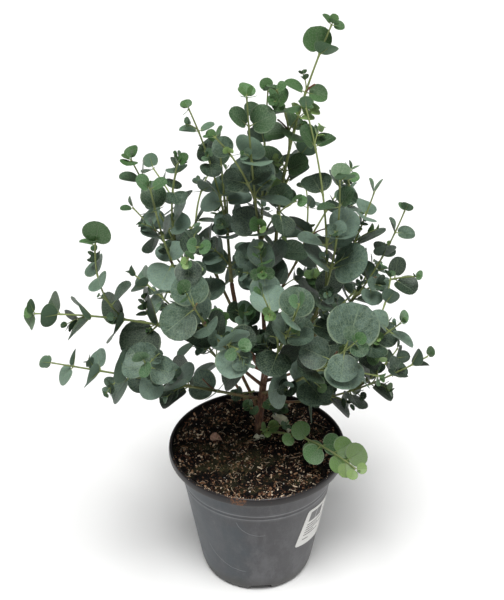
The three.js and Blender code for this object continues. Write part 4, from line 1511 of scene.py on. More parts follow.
@dataclass
class LeafyStem:
    """One stem's leaves and its twigs with the leaf stalks.

    "young" is how green the foot of a twig of each rank is. A twig is as slim as this over its
    line's radius, and swells by these shares at each pair and flares at its foot.
    """

    name: str
    shoots: list[Shoot]
    low: Array
    high: Array
    number: int
    young: tuple[float, float, float, float] = (0.22, 0.5, 0.75, 0.02)
    slim: float = 0.8
    swell: float = 0.3
    flare: float = 0.45
    moulds: tuple[tuple[float, BladeMould], ...] = (
        (17, BladeMould(24, (0.5, 0.86, 1.0))),
        (9, BladeMould(18, (0.6, 1.0), 0.24)),
        (0, BladeMould(12, (0.6, 1.0), 0.2)),
    )

    def blades(self) -> Shape:
        """All the blades, each cast in the mould for its size."""
        rng = np.random.default_rng(700 + self.number)
        leaves = [leaf for shoot in self.shoots for leaf in shoot.leaves]
        shapes, top = [], math.inf
        for least, mould in self.moulds:
            own = [leaf for leaf in leaves if least <= leaf.size < top]
            top = least
            if own:
                shapes.append(mould.cast(own, rng))
        whole = Shape.joined(shapes)
        whole.points = np.clip(whole.points, self.low, self.high)
        return whole

    def _twig(self, shoot: Shoot) -> Shape:
        """A tube along a shoot: its radius falls from foot to tip and swells at each pair."""
        curve, sides = shoot.curve, 6 if shoot.rank == 2 else 8
        length = curve.length()
        steps = max(5, math.ceil(length / (2.5 if shoot.rank == 2 else 4)))
        t = np.unique(np.concatenate([np.linspace(0, 1, steps), np.array(shoot.nodes)]))
        _, first, second = curve.frames(t)
        away = (t[:, None] - np.array(shoot.nodes)[None]) * length
        swell = np.exp(-((away / 1.5) ** 2)).sum(1) * self.swell
        foot = np.exp(-t * length / 4) * self.flare
        radius = shoot.radii[0] + (shoot.radii[1] - shoot.radii[0]) * t
        radius = radius * self.slim * (1 + swell + foot)
        ring = hoop(first, second, angles(sides))
        grid = curve.point(t)[:, None] + ring * radius[:, None, None]
        end = curve.point(1.0) + curve.tangent(1.0) * radius[-1]
        tube = capped(grid, curve.point(0.0), end)
        share = np.concatenate([np.repeat(t, sides), [0, 1]])
        grown = self.young[shoot.rank] + 0.3 * ((shoot.seed * 0.37) % 1 - 0.5)
        age = grown + (1 - grown) * share**1.4 * (shoot.rank < 3) + shoot.tint.value[0] * 0.5
        tone = np.full(len(share), (shoot.seed % 17) / 17)
        tube.values = {"age": np.clip(age, 0, 1), "tone": tone}
        return tube

    def _stalks(self, shoot: Shoot) -> Shape:
        """Leaf stalks: five-sided tubes from the twig's middle that run out as the midrib under
        each blade."""
        leaves = shoot.leaves
        n, sides = len(leaves), 5
        base, along, across, face, size, radius, curl = (
            held(leaves, k) for k in ("base", "along", "across", "face", "size", "radius", "curl")
        )
        u = np.array([[0, 0, 0.1, 0.36, 0.72]])
        reach = Habit.petiole * np.array([[0, 0.2, 1, 1, 1]]) + u
        reach = radius * np.array([[0, 1, 1, 1, 1]]) + size * reach
        thick = (0.2 + 0.02 * size) * np.array([[1.2, 1.1, 0.75, 0.5, 0.14]])
        sink = np.array([[0, 0, 0.5, 1, 1]]) * (thick * 0.7 + 0.16 + 0.012 * size)
        droop = size * Habit.droop * curl * u * u + sink
        middle = base + along * reach[..., None] - face * droop[..., None]
        ring = hoop(across, face, angles(sides))
        grid = middle[:, :, None] + ring * thick[..., None, None]
        rows = u.shape[1]
        faces, each = lattice(rows, sides), rows * sides
        cap = np.array([[2, 1, 0], [3, 2, 0], [4, 3, 0]])
        caps = np.concatenate([cap, cap[:, [1, 0, 2]] + each - sides])
        age = np.repeat([0.72 + 0.28 * leaf.age for leaf in leaves], each)
        tone = np.repeat([leaf.tone for leaf in leaves], each)
        return Shape(grid.reshape(-1, 3), copies(each, faces, n), copies(each, caps, n),
                     {"age": age, "tone": tone})

    def build(self, leaf: bpy.types.Material, twig: bpy.types.Material) -> None:
        """Makes the stem's two pieces."""
        node = f"stem_{self.name}"
        self.blades().piece(f"leaves_{self.name}", leaf, "leaf", (node,), sharp=75)
        tubes = [self._twig(s) for s in self.shoots]
        stalks = [self._stalks(s) for s in self.shoots if s.leaves]
        whole = Shape.joined(tubes + stalks)
        whole.points = np.clip(whole.points, self.low, self.high)
        whole.piece(f"twigs_{self.name}", twig, "bark", (node,))


@dataclass(frozen=True)
class Trunk:
    """The woody trunk and its forks."""

    wood: tuple[tuple[tuple[float, ...], ...], ...]
    sides: int = 20
    step: float = 2.5
    slim: float = 0.84
    flare: float = 0.22
    soil: float = 155.2

    def _length(self, number: int, part: tuple[tuple[float, ...], ...]) -> Shape:
        """One length: a tube whose radius carries long ridges, knots and a flare at the soil.

        The radius is the lerp from foot to tip times 1 plus waves in the angle and the way
        along, and the ends are rounded.
        """
        start, bend, tip, radii = part
        curve = Curve.through(start, bend, tip)
        length = curve.length()
        t = np.linspace(0, 1, max(6, math.ceil(length / self.step)))
        _, first, second = curve.frames(t)
        a = angles(self.sides)
        s = (t * length)[:, None]
        ridges = 0.05 * np.sin(3 * a + 0.09 * s + number) + 0.03 * np.sin(7 * a - 0.16 * s)
        knots = 0.05 * np.sin(0.31 * s + 2 * number) * np.sin(a + 0.05 * s)
        knots = knots + 0.07 * np.exp(-(((s % 37) - 18) ** 2) / 9)
        centre = curve.point(t)
        flare = self.flare * np.exp(-np.maximum(0, centre[:, 2:] - self.soil) / 7) * (number == 0)
        ends = np.sqrt(np.clip(np.minimum(s, length - s) / 2.0 + 0.35, 0, 1))
        radius = radii[0] + (radii[1] - radii[0]) * t[:, None]
        radius = radius * self.slim * (1 + ridges + knots + flare) * ends
        ring = hoop(first, second, a)
        return capped(centre[:, None] + ring * radius[..., None], centre[0], centre[-1])

    def build(self, bark: bpy.types.Material) -> None:
        """Makes the trunk piece."""
        whole = Shape.joined([self._length(i, part) for i, part in enumerate(self.wood)])
        whole.piece("trunk_bark", bark, "bark", ("trunk",))


@dataclass(frozen=True)
class Pot:
    """The nursery pot: a thin tapered wall, rim collar, ledge, ring lines, foot and drains."""

    height: float = 160
    rim: float = 95
    rim_inner: float = 91.5
    wall_top: float = 87
    wall_low: float = 63
    wall_low_z: float = 14
    foot: float = 57
    foot_height: float = 4.5
    foot_width: float = 4
    wall: float = 1.6
    step_top: float = 152.8
    floor_top: float = 6.5
    boss: float = 14
    drains: int = 8
    drain_wide: float = 22
    drain_high: float = 4.1
    drain_in: float = 46
    bay_wide: float = 27
    hole: float = 3.5
    drain_turn: float = 4
    columns: int = 192
    sharp: float = 38

    def fall(self, z: float | Array) -> float | Array:
        """The wall's outer radius at a height or heights."""
        share = (z - self.wall_low_z) / (self.height - self.wall_low_z)
        return self.wall_low + (self.wall_top - self.wall_low) * share

    def _profile(self) -> Array:
        """Radius and height from the middle of the underside, round the wall, to the middle of
        the floor. Ring lines are shallow grooves, and outer corners are rounded."""
        w = self.fall
        wall = [(w(z), z) for z in (17, 24, 34, 46, 60, 76, 92, 106, 116)]
        lines = [(w(119.6), 119.6), (w(120.4) + 0.35, 120.2), (w(121.2) + 0.35, 120.8),
                 (w(121.6), 121.6), (w(125.2), 125.2), (w(126) + 0.7, 126.1),
                 (w(126.7) + 0.9, 126.9)]
        band = [(w(z) + 0.9, z) for z in (131, 138, 145, 150.3)]
        outside = [
            (0, 0), (self.boss - 0.4, 0), (self.boss, 0.4), (self.boss, self.foot_height),
            (self.foot - self.foot_width, self.foot_height),
            (self.foot - self.foot_width, 0.3), (self.foot - self.foot_width + 0.3, 0),
            (self.foot - 0.4, 0), (self.foot + 0.5, 0.5), (self.foot + 1.9, 2.2),
            (self.foot + 3.7, 5.6), (self.foot + 4.8, 9.2), (self.foot + 5.5, 12), *wall, *lines,
            *band, (w(151) + 1.2, 150.9), (self.rim - 1.6, 151), (self.rim - 0.5, 151.3),
            (self.rim, 152.2), (self.rim, 155), (self.rim - 0.2, 157.8), (self.rim - 0.7, 159.2),
            (self.rim - 1.4, 159.9), (self.rim - 2.2, 160), (self.rim_inner + 0.5, 159.9),
        ]
        inside = [
            (self.rim_inner, 159.4), (self.rim_inner, 156), (self.rim_inner, 153.3),
            (self.rim_inner - 0.5, self.step_top), (w(152.8) - self.wall, self.step_top),
            (w(120) - self.wall, 120), (w(60) - self.wall, 60), (w(14) - self.wall, 14),
            (w(14) - self.wall - 3, self.floor_top), (20, self.floor_top), (0, self.floor_top),
        ]
        return np.array(outside + inside, float)

    def _wall(self) -> Shape:
        """The profile turned about the pot's axis."""
        profile = self._profile()
        r, z = profile[1:-1, :, None].transpose(1, 0, 2)
        first, last = (np.array([0, 0, profile[i, 1]]) for i in (0, -1))
        return capped(polar(r, angles(self.columns), z), first, last)

    def _cutters(self, kind: str) -> Shape:
        """The notches through the foot, as boxes, the bays above them in the wall's lowest
        curve, which narrow upwards, or the holes in the floor, as round rods."""
        angle = -np.pi / 2 + np.arange(self.drains) * 2 * np.pi / self.drains
        angle = angle + math.radians(self.drain_turn)
        out = polar(1, angle, 0)
        along = np.cross(UP, out)
        if kind == "notch":
            x = np.array([self.drain_in, 80])[:, None] + np.zeros((1, 4))
            y = np.array([[-0.5, 0.5, 0.5, -0.5]]) * self.drain_wide + np.zeros((2, 1))
            z = np.array([[-1, -1, 1, 1]]) * self.drain_high + np.zeros((2, 1))
        elif kind == "bay":
            x, z = np.array([(54.8, -1.5), (54.8, 5.9), (58.6, 6.2), (60.6, 9.4), (80, 9.4),
                             (80, -1.5)]).T[:, None, :] + np.zeros((2, 2, 1))
            y = np.array([[-1.0], [1.0]]) * (self.bay_wide / 2 - 0.28 * z)
            out, along = out[::2], along[::2]
        else:
            a = angles(24)
            x = self.drain_in + self.hole * np.cos(a) + np.zeros((2, 1))
            y = self.hole * np.sin(a) + np.zeros((2, 1))
            z = np.array([-2.0, 2 * self.floor_top])[:, None] + 0 * a
        shapes = []
        for o, s in zip(out, along):
            grid = x[..., None] * o + y[..., None] * s + z[..., None] * UP
            shapes.append(capped(grid, grid[0].mean(0), grid[1].mean(0)))
        return Shape.joined(shapes)

    def build(self, plastic: bpy.types.Material) -> None:
        """Turns the pot, cuts its drains and makes the piece."""
        pot = self._wall().piece("pot_shell", plastic, "pot_plastic", ("pot",), sharp=self.sharp)
        for kind in ("notch", "bay", "hole"):
            shape = self._cutters(kind)
            cutter = shape.piece(f"cutter_{kind}", plastic, "pot_plastic")
            cut = pot.modifiers.new(kind, "BOOLEAN")
            cut.operation, cut.object, cut.solver = "DIFFERENCE", cutter, "EXACT"
            bpy.context.view_layer.update()
            seen = pot.evaluated_get(bpy.context.evaluated_depsgraph_get())
            mesh = bpy.data.meshes.new_from_object(seen)
            pot.modifiers.clear()
            old, pot.data = pot.data, mesh
            bpy.data.meshes.remove(old)
            bpy.data.objects.remove(cutter)
        pot.data.name = pot.name
        pot.data.shade_smooth()
        pot.data.set_sharp_from_angle(angle=math.radians(self.sharp))


@dataclass(frozen=True)
class Waves:
    """Seeded fractal noise over the plane: sums of sines whose directions and phases are drawn,
    each octave finer and lower than the one before."""

    seed: int
    size: float
    octaves: int = 4
    fall: float = 0.55

    def __call__(self, x: Array, y: Array) -> Array:
        """The height at every point, about -1 to 1."""
        rng = np.random.default_rng(self.seed)
        total, weight, size = 0.0 * x, 1.0, self.size
        for _ in range(self.octaves):
            angle, phase = rng.uniform(0, 2 * np.pi, (2, 6))
            stretch = rng.uniform(0.7, 1.4, 6)
            for a, p, s in zip(angle, phase, stretch):
                k = 2 * np.pi / (size * s)
                total = total + weight * 0.4 * np.sin(k * (x * np.cos(a) + y * np.sin(a)) + p)
            weight, size = weight * self.fall, size * 0.52
        return total


@dataclass(frozen=True)
class Soil:
    """The peat in the pot, and everything that lies on it."""

    level: float = 155.2
    collar: float = 91.15
    rim: float = 91.5
    floor: float = 6.85
    ledge: float = 153.15
    rings: int = 78
    columns: int = 230
    trunk: tuple[float, float] = (2, 18)
    trunk_room: float = 6.5
    strewn: float = 89.2

    def height(self, x: Array, y: Array) -> Array:
        """The top: the solid's own waves, with clods and crumbs that fade out at the rim."""
        reach = np.hypot(x, y) / self.rim
        wave = np.sin(0.085 * x + 1) * np.cos(0.07 * y) + 0.5 * np.sin(0.19 * x - 0.16 * y)
        fade = 1 - np.clip(reach, 0, 1) ** 4
        crumbs = 1.05 * Waves(5, 15)(x, y) + 0.6 * Waves(6, 3.6, 3, 0.7)(x, y)
        mound = 2.2 * np.exp(-np.hypot(x - self.trunk[0], y - self.trunk[1]) / 14)
        return self.level + (1.2 * wave + crumbs) * fade + mound

    def moss(self, x: Array, y: Array) -> Array:
        """How green the peat is: patches towards the front and left."""
        patch = Waves(9, 30, 3)(x, y) * 0.55
        near = np.exp(-(((x + 22) / 42) ** 2) - ((y + 28) / 34) ** 2)
        return np.clip(near * 0.9 + patch * 0.6 - 0.15, 0, 1)

    def _bed(self) -> Shape:
        """A closed body: floor, side up the pot's inner wall, ledge, and the rough top."""
        side = [(30, self.floor), (57.4, self.floor), (61.05, 15), (70, 70), (78, 118),
                (83.87, self.ledge), (self.collar, self.ledge), (self.collar, 154.4)]
        top = self.collar * (1 - np.arange(self.rings) / self.rings)
        r = np.concatenate([[p[0] for p in side], top])
        a = angles(self.columns)
        x, y = r[:, None] * np.cos(a), r[:, None] * np.sin(a)
        z = np.concatenate([[p[1] for p in side], np.zeros(len(top))])[:, None] + 0 * a
        z[len(side):] = self.height(x[len(side):], y[len(side):])
        end = self.height(np.zeros(1), np.zeros(1))[0]
        ends = (np.array([0, 0, height]) for height in (self.floor, end))
        bed = capped(np.stack([x, y, z], -1), *ends)
        px, py = bed.points[:, 0], bed.points[:, 1]
        rough = Waves(12, 4, 3, 0.7)(px, py)
        # painted shade: the bed under the crumbs gets a low tone, so the gaps between them stay
        # dark
        bed.values = {"tone": np.clip(0.12 + 0.14 * rough, 0, 1), "moss": self.moss(px, py)}
        return bed

    def spots(self, rng: np.random.Generator, count: int) -> tuple[Array, Array]:
        """Seeded places on the soil, clear of the trunk, as x and y."""
        r, a = self.strewn * np.sqrt(rng.random(count)), rng.uniform(0, 2 * np.pi, count)
        x, y = r * np.cos(a), r * np.sin(a)
        away = np.hypot(x - self.trunk[0], y - self.trunk[1]) > self.trunk_room
        return x[away], y[away]

    def build(self, peat: bpy.types.Material) -> None:
        """Makes the bed."""
        self._bed().piece("soil_bed", peat, "soil", ("soil",), sharp=80)


def lumps(rng: np.random.Generator, places: Array, radius: Array, flat: float) -> Shape:
    """Rough pebbles: twelve-cornered balls whose corners are pushed in and out by chance,
    flattened, then turned any way.

    Args:
        rng: the seeded source of chance.
        places: their middles (n, 3).
        radius: their radii (n,).
        flat: the third half-axis over the radius.

    Returns:
        The closed lumps.
    """
    g = (1 + math.sqrt(5)) / 2
    ball = unit(np.array([[-1, g, 0], [1, g, 0], [-1, -g, 0], [1, -g, 0], [0, -1, g], [0, 1, g],
                          [0, -1, -g], [0, 1, -g], [g, 0, -1], [g, 0, 1], [-g, 0, -1],
                          [-g, 0, 1]]))
    faces = np.array([[0, 11, 5], [0, 5, 1], [0, 1, 7], [0, 7, 10], [0, 10, 11], [1, 5, 9],
                      [5, 11, 4], [11, 10, 2], [10, 7, 6], [7, 1, 8], [3, 9, 4], [3, 4, 2],
                      [3, 2, 6], [3, 6, 8], [3, 8, 9], [4, 9, 5], [2, 4, 11], [6, 2, 10],
                      [8, 6, 7], [9, 8, 1]])
    n = len(places)
    push = rng.uniform(0.68, 1.25, (n, 12, 1))
    axes = np.stack([rng.uniform(0.8, 1.35, n), rng.uniform(0.7, 1.1, n), np.full(n, flat)], -1)
    local = ball * push * axes[:, None] * radius[:, None, None]
    points = np.einsum("nij,nkj->nki", turns(rng, n), local) + places[:, None]
    tris = copies(len(ball), faces, n)
    return Shape(points.reshape(-1, 3), np.zeros((0, 4), int), tris)


class Litter(Enum):
    """What lies loose: its count, its size range, and how far it sinks in, as a share."""

    CRUMBS = ("crumbs", 4300, (0.55, 1.75), 0.25)
    CLODS = ("clods", 200, (1.9, 3.8), 0.6)
    CHIPS = ("chips", 700, (0.9, 3.6), 0.1)
    FIBRES = ("fibres", 520, (2.5, 8.5), 0.0)
    PERLITE = ("perlite", 84, (0.5, 1.3), 0.2)
    RIM_DIRT = ("rim_dirt", 150, (0.25, 0.6), -0.2)


@dataclass(frozen=True)
class Scatter:
    """Spreads one kind of litter over the soil."""

    soil: Soil
    kind: Litter

    def _places(self, rng: np.random.Generator) -> tuple[Array, Array]:
        """Middles of the things, and their sizes."""
        _, count, (small, large), sink = self.kind.value
        if self.kind is Litter.RIM_DIRT:
            a = -np.pi / 2 + rng.normal(0, 0.75, count)
            r = rng.uniform(Pot.rim_inner + 0.3, Pot.rim - 0.8, count)
            size = rng.uniform(small, large, count)
            return polar(r, a, Pot.height + size * 0.25), size
        x, y = self.soil.spots(rng, count)
        size = small + (large - small) * rng.random(len(x)) ** 2.2
        return np.stack([x, y, self.soil.height(x, y) + size * (0.5 - sink)], -1), size

    def _values(self, rng: np.random.Generator, places: Array, each: int) -> dict[str, Array]:
        """Tone by chance and in broad patches, and moss where the soil has it."""
        x, y = places[:, 0], places[:, 1]
        zone = 0.5 + 0.5 * Waves(17, 34, 3)(x, y)
        tone = 0.06 + 0.26 * zone + 0.85 * rng.beta(0.8, 2.2, len(x))
        moss = self.soil.moss(x, y) * (rng.random(len(x)) < 0.6)
        if self.kind is Litter.CLODS:
            tone = 0.1 + 0.26 * zone
        if self.kind is Litter.CHIPS:
            tone = tone + 0.12
        if self.kind is Litter.FIBRES:
            tone = 0.58 + 0.5 * rng.random(len(x))
        if self.kind is Litter.RIM_DIRT:
            tone, moss = 0.55 + 0.5 * rng.random(len(x)), 0 * x
        return {"tone": np.repeat(tone, each), "moss": np.repeat(moss, each)}

    def _strips(self, rng: np.random.Generator, places: Array, size: Array) -> Shape:
        """Bark chips or fibres: bent strips lying about flat.

        The middle line runs along a random heading, bends sideways and arches by a parabola in
        s from -1 to 1, and the section is a thin box for a chip or a thread for a fibre.
        """
        thread = self.kind is Litter.FIBRES
        rows, sides = (6, 3) if thread else (4, 4)
        n = len(places)
        s = np.linspace(-1, 1, rows)[None, :, None]
        heading, tilt = rng.uniform(0, 2 * np.pi, n), rng.normal(0, 0.22 if thread else 0.35, n)
        along = polar(np.cos(tilt), heading, np.sin(tilt))[:, None]
        side = np.cross(UP, polar(1, heading, 0))[:, None]
        up = np.cross(along, side)
        half = size[:, None, None] * (0.5 if thread else 0.8)
        bend = rng.normal(0, 0.35, n)[:, None, None] * half
        arch = rng.uniform(0.0, 0.3, n) if thread else rng.uniform(-0.1, 0.2, n)
        arch = arch[:, None, None] * half
        line = places[:, None] + along * s * half + side * bend * s * s + up * arch * (1 - s * s)
        a = 2 * np.pi * (np.arange(sides) + 0.5) / sides
        wide = rng.uniform(0.12, 0.24, n) if thread else size * rng.uniform(0.25, 0.5, n)
        thick = wide if thread else rng.uniform(0.35, 0.7, n)
        taper = 1 - 0.55 * np.abs(s) ** 3 * rng.uniform(0.3, 1, (n, 1, 1))
        wide, thick = ((v[:, None, None] * taper)[:, :, None] for v in (wide, thick))
        ring = side[:, :, None] * (np.cos(a)[:, None] * wide)
        ring = ring + up[:, :, None] * (np.sin(a)[:, None] * thick)
        grid = line[:, :, None] + ring
        first, last = grid[:, 0].mean(1), grid[:, -1].mean(1)
        flat = np.concatenate([grid.reshape(n, -1, 3), first[:, None], last[:, None]], 1)
        mould = capped(grid[0], first[0], last[0])
        each = flat.shape[1]
        return Shape(flat.reshape(-1, 3), copies(each, mould.quads, n),
                     copies(each, mould.tris, n))

    def build(self, material: bpy.types.Material) -> None:
        """Makes the piece."""
        name = self.kind.value[0]
        rng = np.random.default_rng(900 + len(name) * 31 + self.kind.value[1])
        places, size = self._places(rng)
        if self.kind in (Litter.CHIPS, Litter.FIBRES):
            shape = self._strips(rng, places, size)
        else:
            shape = lumps(rng, places, size, 0.75)
        shape.values = self._values(rng, places, len(shape.points) // len(places))
        shape.piece(name, material, "soil", sharp=35)


@dataclass(frozen=True)
class FallenLeaf:
    """A dead leaf or scrap on the soil: a blade cast on its own, lying tilted and curled."""

    name: str
    place: Spot
    heading: float
    tilt: float
    size: float
    wide: float
    cup: float

    def build(self, soil: Soil, finish: DryFinish) -> None:
        """Casts and lays the leaf."""
        habit = Habit(wide=self.wide, cup=self.cup, droop=0.1, petiole=0.0)
        turn, tilt = math.radians(self.heading), math.radians(self.tilt)
        along = np.array([math.cos(turn) * math.cos(tilt), math.sin(turn) * math.cos(tilt),
                          math.sin(tilt)])
        across = np.array([-math.sin(turn), math.cos(turn), 0.0])
        x, y, lift = self.place
        z = float(soil.height(np.array([x]), np.array([y]))[0]) + lift
        middle = np.array([x, y, z])
        leaf = Leaf(middle - along * self.size / 2, along, across, np.cross(along, across),
                    self.size, 0.0)
        shape = BladeMould(26, (0.35, 0.7, 1.0), 0.3, habit).cast(
            [leaf], np.random.default_rng(int(self.size * 10)))
        x, y = shape.points[:, 0], shape.points[:, 1]
        shape.points[:, 2] = shape.points[:, 2] + 0.35 * Waves(3, 7, 2)(x, y)
        shape.piece(self.name, finish.material(), "leaf")


@dataclass(frozen=True)
class Sticker:
    """Coated paper wrapped round the sloping wall, with rounded corners, a little crooked."""

    width: float = 66
    tall: float = 52
    azimuth: float = -26
    middle: float = 82
    lean: float = -9
    power: float = 22.0
    out: tuple[float, float] = (0.06, 0.5)
    count: int = 96
    rings: int = 12

    def build(self, pot: Pot, paper: bpy.types.Material) -> None:
        """Lays a rounded sheet on the wall.

        A point at x along and y up the sheet goes to the height y and the angle x over the
        wall's radius there. The lower skin is joined to the upper one round the outline.
        """
        a = 2 * np.pi * (np.arange(self.count) + 0.5) / self.count
        reach = np.linspace(0, 1, self.rings + 1)[1:, None, None]
        flat = self._rounded(a)[None] * reach
        u = flat / np.array([self.width, self.tall]) + 0.5
        low, high = (self._wrapped(pot, flat, lift) for lift in self.out)
        grid = np.concatenate([low, high[::-1]])
        middle = self._wrapped(pot, np.zeros((1, 2)), np.array(self.out))
        shape = capped(grid, middle[0], middle[1])
        maps = np.concatenate([u, u[::-1]]).reshape(-1, 2)
        shape.uv = np.concatenate([maps, [[0.5, 0.5], [0.5, 0.5]]])
        shape.quads, shape.tris = shape.quads[:, ::-1], shape.tris[:, ::-1]
        shape.piece("sticker_sheet", paper, "sticker", ("sticker",), uv_name="sheet", sharp=40)

    def _rounded(self, a: Array) -> Array:
        """The outline at each angle: a superellipse of a high power, close to a rectangle with
        rounded corners."""
        c, s = np.cos(a), np.sin(a)
        reach = np.abs(c / (self.width / 2)) ** self.power
        reach = reach + np.abs(s / (self.tall / 2)) ** self.power
        return np.stack([c, s], -1) * (reach ** (-1 / self.power))[:, None]

    def _wrapped(self, pot: Pot, flat: Array, lift: float | Array) -> Array:
        """Points of the sheet on the wall, raised by a lift."""
        lean = math.radians(self.lean)
        along = flat[..., 0] * math.cos(lean) - flat[..., 1] * math.sin(lean)
        z = self.middle + flat[..., 0] * math.sin(lean) + flat[..., 1] * math.cos(lean)
        wall = pot.fall(z)
        return polar(wall + lift, math.radians(self.azimuth) + along / wall, z)


@dataclass(frozen=True)
class Studio:
    """A pale floor, soft light from above and the photograph's camera.

    The eye, the floor's radius and the backdrop's radius and height are in millimetres. The
    aim, the lamps' places and how far the camera sees are in metres. A lamp has a name, a place,
    an angular size in degrees and a strength.
    """

    eye: Spot = (-5.4, -945.6, 898.8)
    pitch: float = 59.3
    lens: float = 66.36
    sensor: float = 36
    far: float = 100
    sky: float = 0.18
    floor: float = 100000
    backdrop: tuple[float, float] = (12000, 9000)
    aim: Spot = (0.0, 0.0, 0.25)
    lamps: tuple[tuple[str, Spot, float, float], ...] = (
        ("key", (-0.12, -0.75, 2.3), 30, 3.3),
        ("fill", (1.4, -0.4, 1.6), 60, 0.7),
    )

    def _set(self, name: str, rings: list[tuple[float, float, int]], faces: Array,
             material: bpy.types.Material) -> bpy.types.Object:
        """Makes a piece of the studio.

        Args:
            name: its name.
            rings: its points, as each ring's radius, height and count.
            faces: what joins them.
            material: its finish.

        Returns:
            The object, which isn't part of the plant.
        """
        points = [polar(r, angles(n), z) for r, z, n in rings]
        mesh = bpy.data.meshes.new(name)
        mesh.from_pydata((np.concatenate(points) * MM).tolist(), [], faces.tolist())
        mesh.materials.append(material)
        made = bpy.data.objects.new(name, mesh)
        bpy.context.scene.collection.objects.link(made)
        made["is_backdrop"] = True
        return made

    def _floor(self, n: int = 24) -> None:
        """Makes the floor: a disc of n triangles."""
        k = np.arange(n)
        tris = np.stack([k * 0 + n, k, (k + 1) % n], -1)
        self._set("floor", [(self.floor, 0, n), (0, 0, 1)], tris, FloorFinish().material())

    def _ring(self, n: int = 48) -> None:
        """Makes a tall white ring of n sides that only the camera sees, so that a low view has
        no dark sky."""
        radius, top = self.backdrop
        k = np.arange(n)
        quads = np.stack([k, k + n, (k + 1) % n + n, (k + 1) % n], -1)
        white = Graph("studio_backdrop", {
            "Specular IOR Level": 0.0, "Emission Strength": 1.0,
            "Base Color": (0, 0, 0, 1), "Emission Color": (1, 1, 1, 1),
        }).material
        white.cycles.emission_sampling = "NONE"
        ring = self._set("backdrop", [(radius, -1, n), (radius, top, n)], quads, white)
        ring.visible_diffuse = ring.visible_glossy = ring.visible_shadow = False

    def _lamp(self, name: str, place: Spot, size: float, power: float) -> None:
        """A soft distant light turned to the aim: its angular size in degrees and strength."""
        data = bpy.data.lights.new(name, "SUN")
        data.angle, data.energy = math.radians(size), power
        lamp = bpy.data.objects.new(name, data)
        lamp.location = place
        x, y, z = np.array(place) - np.array(self.aim)
        lamp.rotation_euler = 0, math.atan2(math.hypot(x, y), z), math.atan2(y, x)
        bpy.context.scene.collection.objects.link(lamp)

    def build(self) -> None:
        """Makes the floor, the backdrop, the lights, the sky and the camera."""
        self._floor()
        self._ring()
        for lamp in self.lamps:
            self._lamp(*lamp)
        world = bpy.data.worlds.new("sky")
        world.use_nodes = True
        sky = world.node_tree.nodes["Background"].inputs
        sky["Color"].default_value, sky["Strength"].default_value = (1, 1, 1, 1), self.sky
        scene = bpy.context.scene
        scene.world = world
        scene.view_settings.view_transform = "Standard"
        data = bpy.data.cameras.new("camera")
        data.lens, data.sensor_width, data.sensor_fit = self.lens, self.sensor, "AUTO"
        data.clip_end = self.far
        camera = bpy.data.objects.new("camera", data)
        camera.location = np.array(self.eye) * MM
        camera.rotation_euler = (math.radians(self.pitch), 0, 0)
        scene.collection.objects.link(camera)
        scene.camera = camera


